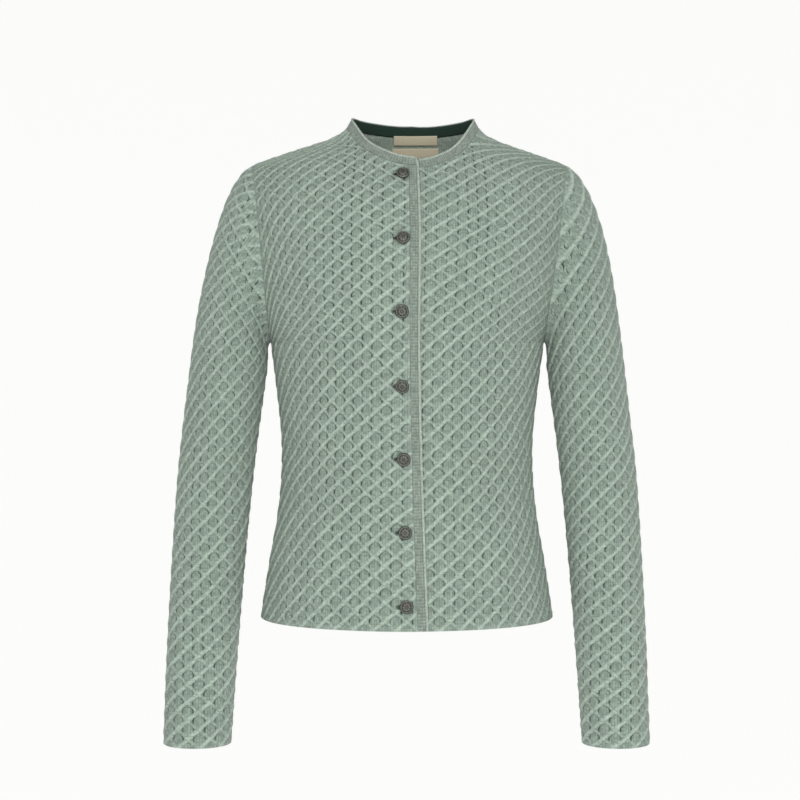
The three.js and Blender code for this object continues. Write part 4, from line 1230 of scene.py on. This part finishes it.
tape_looks = {
    "Base Color": add_node(tape_tree, "Mix", tape_shades, data_type="RGBA")["Result"],
    "Normal": add_node(tape_tree, "Bump", tape_bumps)["Normal"],
    "Roughness": 0.8,
}
join(tape_tree, tape_shader, tape_looks)
tape = ribbon("neck_tape_weave", neck_point(tape_h, tape_w, slice(first, last)), [tape_material])
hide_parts("neck_tape")

# Two woven labels hang inside the back of the neck, sewn on along their upper edges, the lower
# one folded double. Both are bare. Their fine crossing threads give a soft, matt cream.
LABEL_THICKNESS = 1.0
LABEL_CREAM, LABEL_SHADE = "#d8ceb3", "#bdb196"
LABEL_COLUMNS, LABEL_ROWS = 60, 14
LABEL_WEAVE = 0.6
LABELS = [
    # name, left, right, top and bottom
    ("label_upper", -15, 35.8, 23.8, 13.8),
    ("label_lower", -16.4, 37, 10.6, 0),
]

label_cloth, label_tree, label_shader = material("cream damask label, woven in cotton")
label_place = add_node(label_tree, "Attribute", {}, attribute_name="knit")["Vector"]
label_parts = add_node(label_tree, "SeparateXYZ", {0: label_place})
threads = []
for axis in ("X", "Y"):
    count = {0: label_parts[axis], 1: 2 * math.pi / LABEL_WEAVE}
    turned = add_node(label_tree, "Math", count, operation="MULTIPLY")[0]
    threads.append(add_node(label_tree, "Math", {0: turned}, operation="SINE")[0])
crossing = add_node(label_tree, "Math", dict(enumerate(threads)), operation="MULTIPLY")[0]
weave_range = {"Value": crossing, "From Min": -1.0, "From Max": 1.0}
weave = add_node(label_tree, "MapRange", weave_range)["Result"]
label_shades = {"Factor": weave, "A": linear(LABEL_SHADE), "B": linear(LABEL_CREAM)}
label_bumps = {"Distance": 0.12 * MM, "Height": weave}
label_looks = {
    "Base Color": add_node(label_tree, "Mix", label_shades, data_type="RGBA")["Result"],
    "Normal": add_node(label_tree, "Bump", label_bumps)["Normal"],
    "Roughness": 0.7,
    "Sheen Weight": 0.1,
}
join(label_tree, label_shader, label_looks)


def back_inside(x, z):
    """Places on the back's outer face that lie at x and z seen from the front."""
    guess = np.stack([-x, np.interp(z, [-60, 20], [BACK_HEIGHT - 110, BACK_HEIGHT - 20])], -1)
    return settle(back_face, guess, np.stack([x, z], -1), [0, 2], rounds=12, most=15)


for name, left, right, top, bottom in LABELS:
    x = np.linspace(left, right, LABEL_COLUMNS)[:, None]
    z = np.linspace(bottom, top, LABEL_ROWS)
    bulge = 0.35 * np.sin(np.linspace(0, np.pi, LABEL_ROWS))
    near = -CLOTH - LAYER_GAP - bulge
    grid_x, grid_z = np.broadcast_arrays(x, z)
    place = back_inside(grid_x.ravel(), grid_z.ravel()).reshape(LABEL_COLUMNS, LABEL_ROWS, 2)
    front = back_wall(place[..., 0], place[..., 1], np.broadcast_to(near, grid_x.shape))
    behind = back_wall(place[..., 0], place[..., 1], np.broadcast_to(near - LABEL_THICKNESS, grid_x.shape))
    stations = np.concatenate([front[:, ::-1], behind], 1)
    label = ribbon(name + "_woven", stations[::-1], [label_cloth])
    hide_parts(name)

# Seven shank buttons of cast pewter, each a low dome with a raised rim and a ring of petals,
# darkened in its hollows and rubbed bright on top.
BUTTON_RADIUS, BUTTON_LIFT = 7.2, 0.4
DOME, RIM, FACE_FOOT, FACE_EDGE = 3.0, 0.9, 0.9, 1.5
# in shares of the radius: where each part of the relief lies, and half its width
RIM_AT, PETALS_AT, HEART_AT, GROOVE_AT = (0.86, 0.1), (0.48, 0.22), (0, 0.16), (0.72, 0.06)
GROOVE = 0.35  # depth inside the rim
PETALS, PETAL_RELIEF, BEADS, BEAD_RELIEF = 8, 0.45, 28, 0.16
BUTTON_RINGS, BUTTON_SEGMENTS = 22, 84
# the back and the shank: share of the radius, and height over the cloth
BUTTON_BACK = np.array([(0.97, 0.8), (0.86, 0.35), (0.3, 0.3), (0.21, 0.0), (0.21, -1.9), (0.21, -4.2)])
BUTTON_TURN = 0.83  # from one button to the next, as no two are sewn on alike
PEWTER, PEWTER_DARK = "#6b6d65", "#161814"

pewter, pewter_tree, pewter_shader = material("cast pewter, antiqued and rubbed")
pewter_grain = add_node(pewter_tree, "TexNoise", {"Scale": 900.0, "Detail": 4.0})["Fac"]
pewter_rise = add_node(pewter_tree, "Attribute", {}, attribute_name="rise")["Fac"]
tarnish_parts = {0: pewter_grain, 1: 0.5, 2: pewter_rise}
tarnish = add_node(pewter_tree, "Math", tarnish_parts, operation="MULTIPLY_ADD")[0]
polish_range = {"Value": tarnish, "From Min": 0.35, "From Max": 1.15}
polish = add_node(pewter_tree, "MapRange", polish_range)["Result"]
pewter_shades = {"Factor": polish, "A": linear(PEWTER_DARK), "B": linear(PEWTER)}
pewter_bumps = {"Strength": 0.5, "Distance": 0.1 * MM, "Height": pewter_grain}
dull_range = {"Value": polish, "To Min": 0.62, "To Max": 0.36}
pewter_looks = {
    "Base Color": add_node(pewter_tree, "Mix", pewter_shades, data_type="RGBA")["Result"],
    "Roughness": add_node(pewter_tree, "MapRange", dull_range)["Result"],
    "Normal": add_node(pewter_tree, "Bump", pewter_bumps)["Normal"],
    "Metallic": 0.9,
}
join(pewter_tree, pewter_shader, pewter_looks)


def bell(r, middle, half):
    """1 at a share of the radius, and less to both sides of it."""
    return np.exp(-(((r - middle) / half) ** 2))


def button_face():
    """Points of a button's face about its own axis, and how proud each one is, from 0 to 1."""
    r = np.linspace(0.02, 1, BUTTON_RINGS)[:, None]
    turn = np.linspace(0, 2 * np.pi, BUTTON_SEGMENTS, endpoint=False)
    dome = DOME * (1 - r**2) ** 0.8
    rim = RIM * bell(r, *RIM_AT)
    petals = np.sqrt(np.abs(np.cos(turn * PETALS / 2))) * bell(r, *PETALS_AT)
    heart = bell(r, *HEART_AT) * 0.5
    beads = np.cos(turn * BEADS) * bell(r, *RIM_AT)
    relief = PETAL_RELIEF * petals + PETAL_RELIEF * heart + BEAD_RELIEF * beads
    height = FACE_FOOT + dome + rim + relief - GROOVE * bell(r, *GROOVE_AT)
    height[-1] = FACE_EDGE
    rise = np.clip(0.15 + 0.75 * (petals + heart) + rim / RIM * 0.8 + 0.15 * beads, 0, 1)
    face = points(BUTTON_RADIUS * r * np.cos(turn), BUTTON_RADIUS * r * np.sin(turn), height)
    radius, depth = BUTTON_RADIUS * BUTTON_BACK[:, :1], BUTTON_BACK[:, 1:]
    rings = points(radius * np.cos(turn), radius * np.sin(turn), depth)
    return np.concatenate([face, rings]), np.concatenate([rise, np.full(rings.shape[:2], 0.1)])


face, proud = button_face()
rings, segments = face.shape[:2]
index, ahead, walls = rings_of(rings, segments)
walls = walls[:, [0, 3, 2, 1]]  # the rings run from the face's middle to the shank's foot
centre, foot = rings * segments, rings * segments + 1
caps = [
    np.stack([np.full(segments, centre), index[0], ahead[0]], 1),
    np.stack([np.full(segments, foot), ahead[-1], index[-1]], 1),
]
face_points = np.concatenate([face.reshape(-1, 3), [[0, 0, face[0, :, 2].max()], [0, 0, face[-1, 0, 2]]]])
seats = right_wall(button_u, button_v, BUTTON_LIFT)
axes = unit(right_wall(button_u, button_v, BUTTON_LIFT + 1) - seats)
for i in range(BUTTON_COUNT):
    side_axis = unit(np.cross(np.array([0.0, 0.0, 1.0]), axes[i]))
    up_axis = np.cross(axes[i], side_axis)
    turn = i * BUTTON_TURN
    across = side_axis * math.cos(turn) + up_axis * math.sin(turn)
    upward = np.cross(axes[i], across)
    placed = seats[i] + face_points @ np.stack([across, upward, axes[i]])
    button = mesh_object(f"button_{i + 1}_cast", placed, [walls, *caps], [pewter])
    store(button, "rise", np.concatenate([proud.ravel(), [1.0, 0.1]]))
    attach(button, "root")
    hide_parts(f"button_{i + 1}")
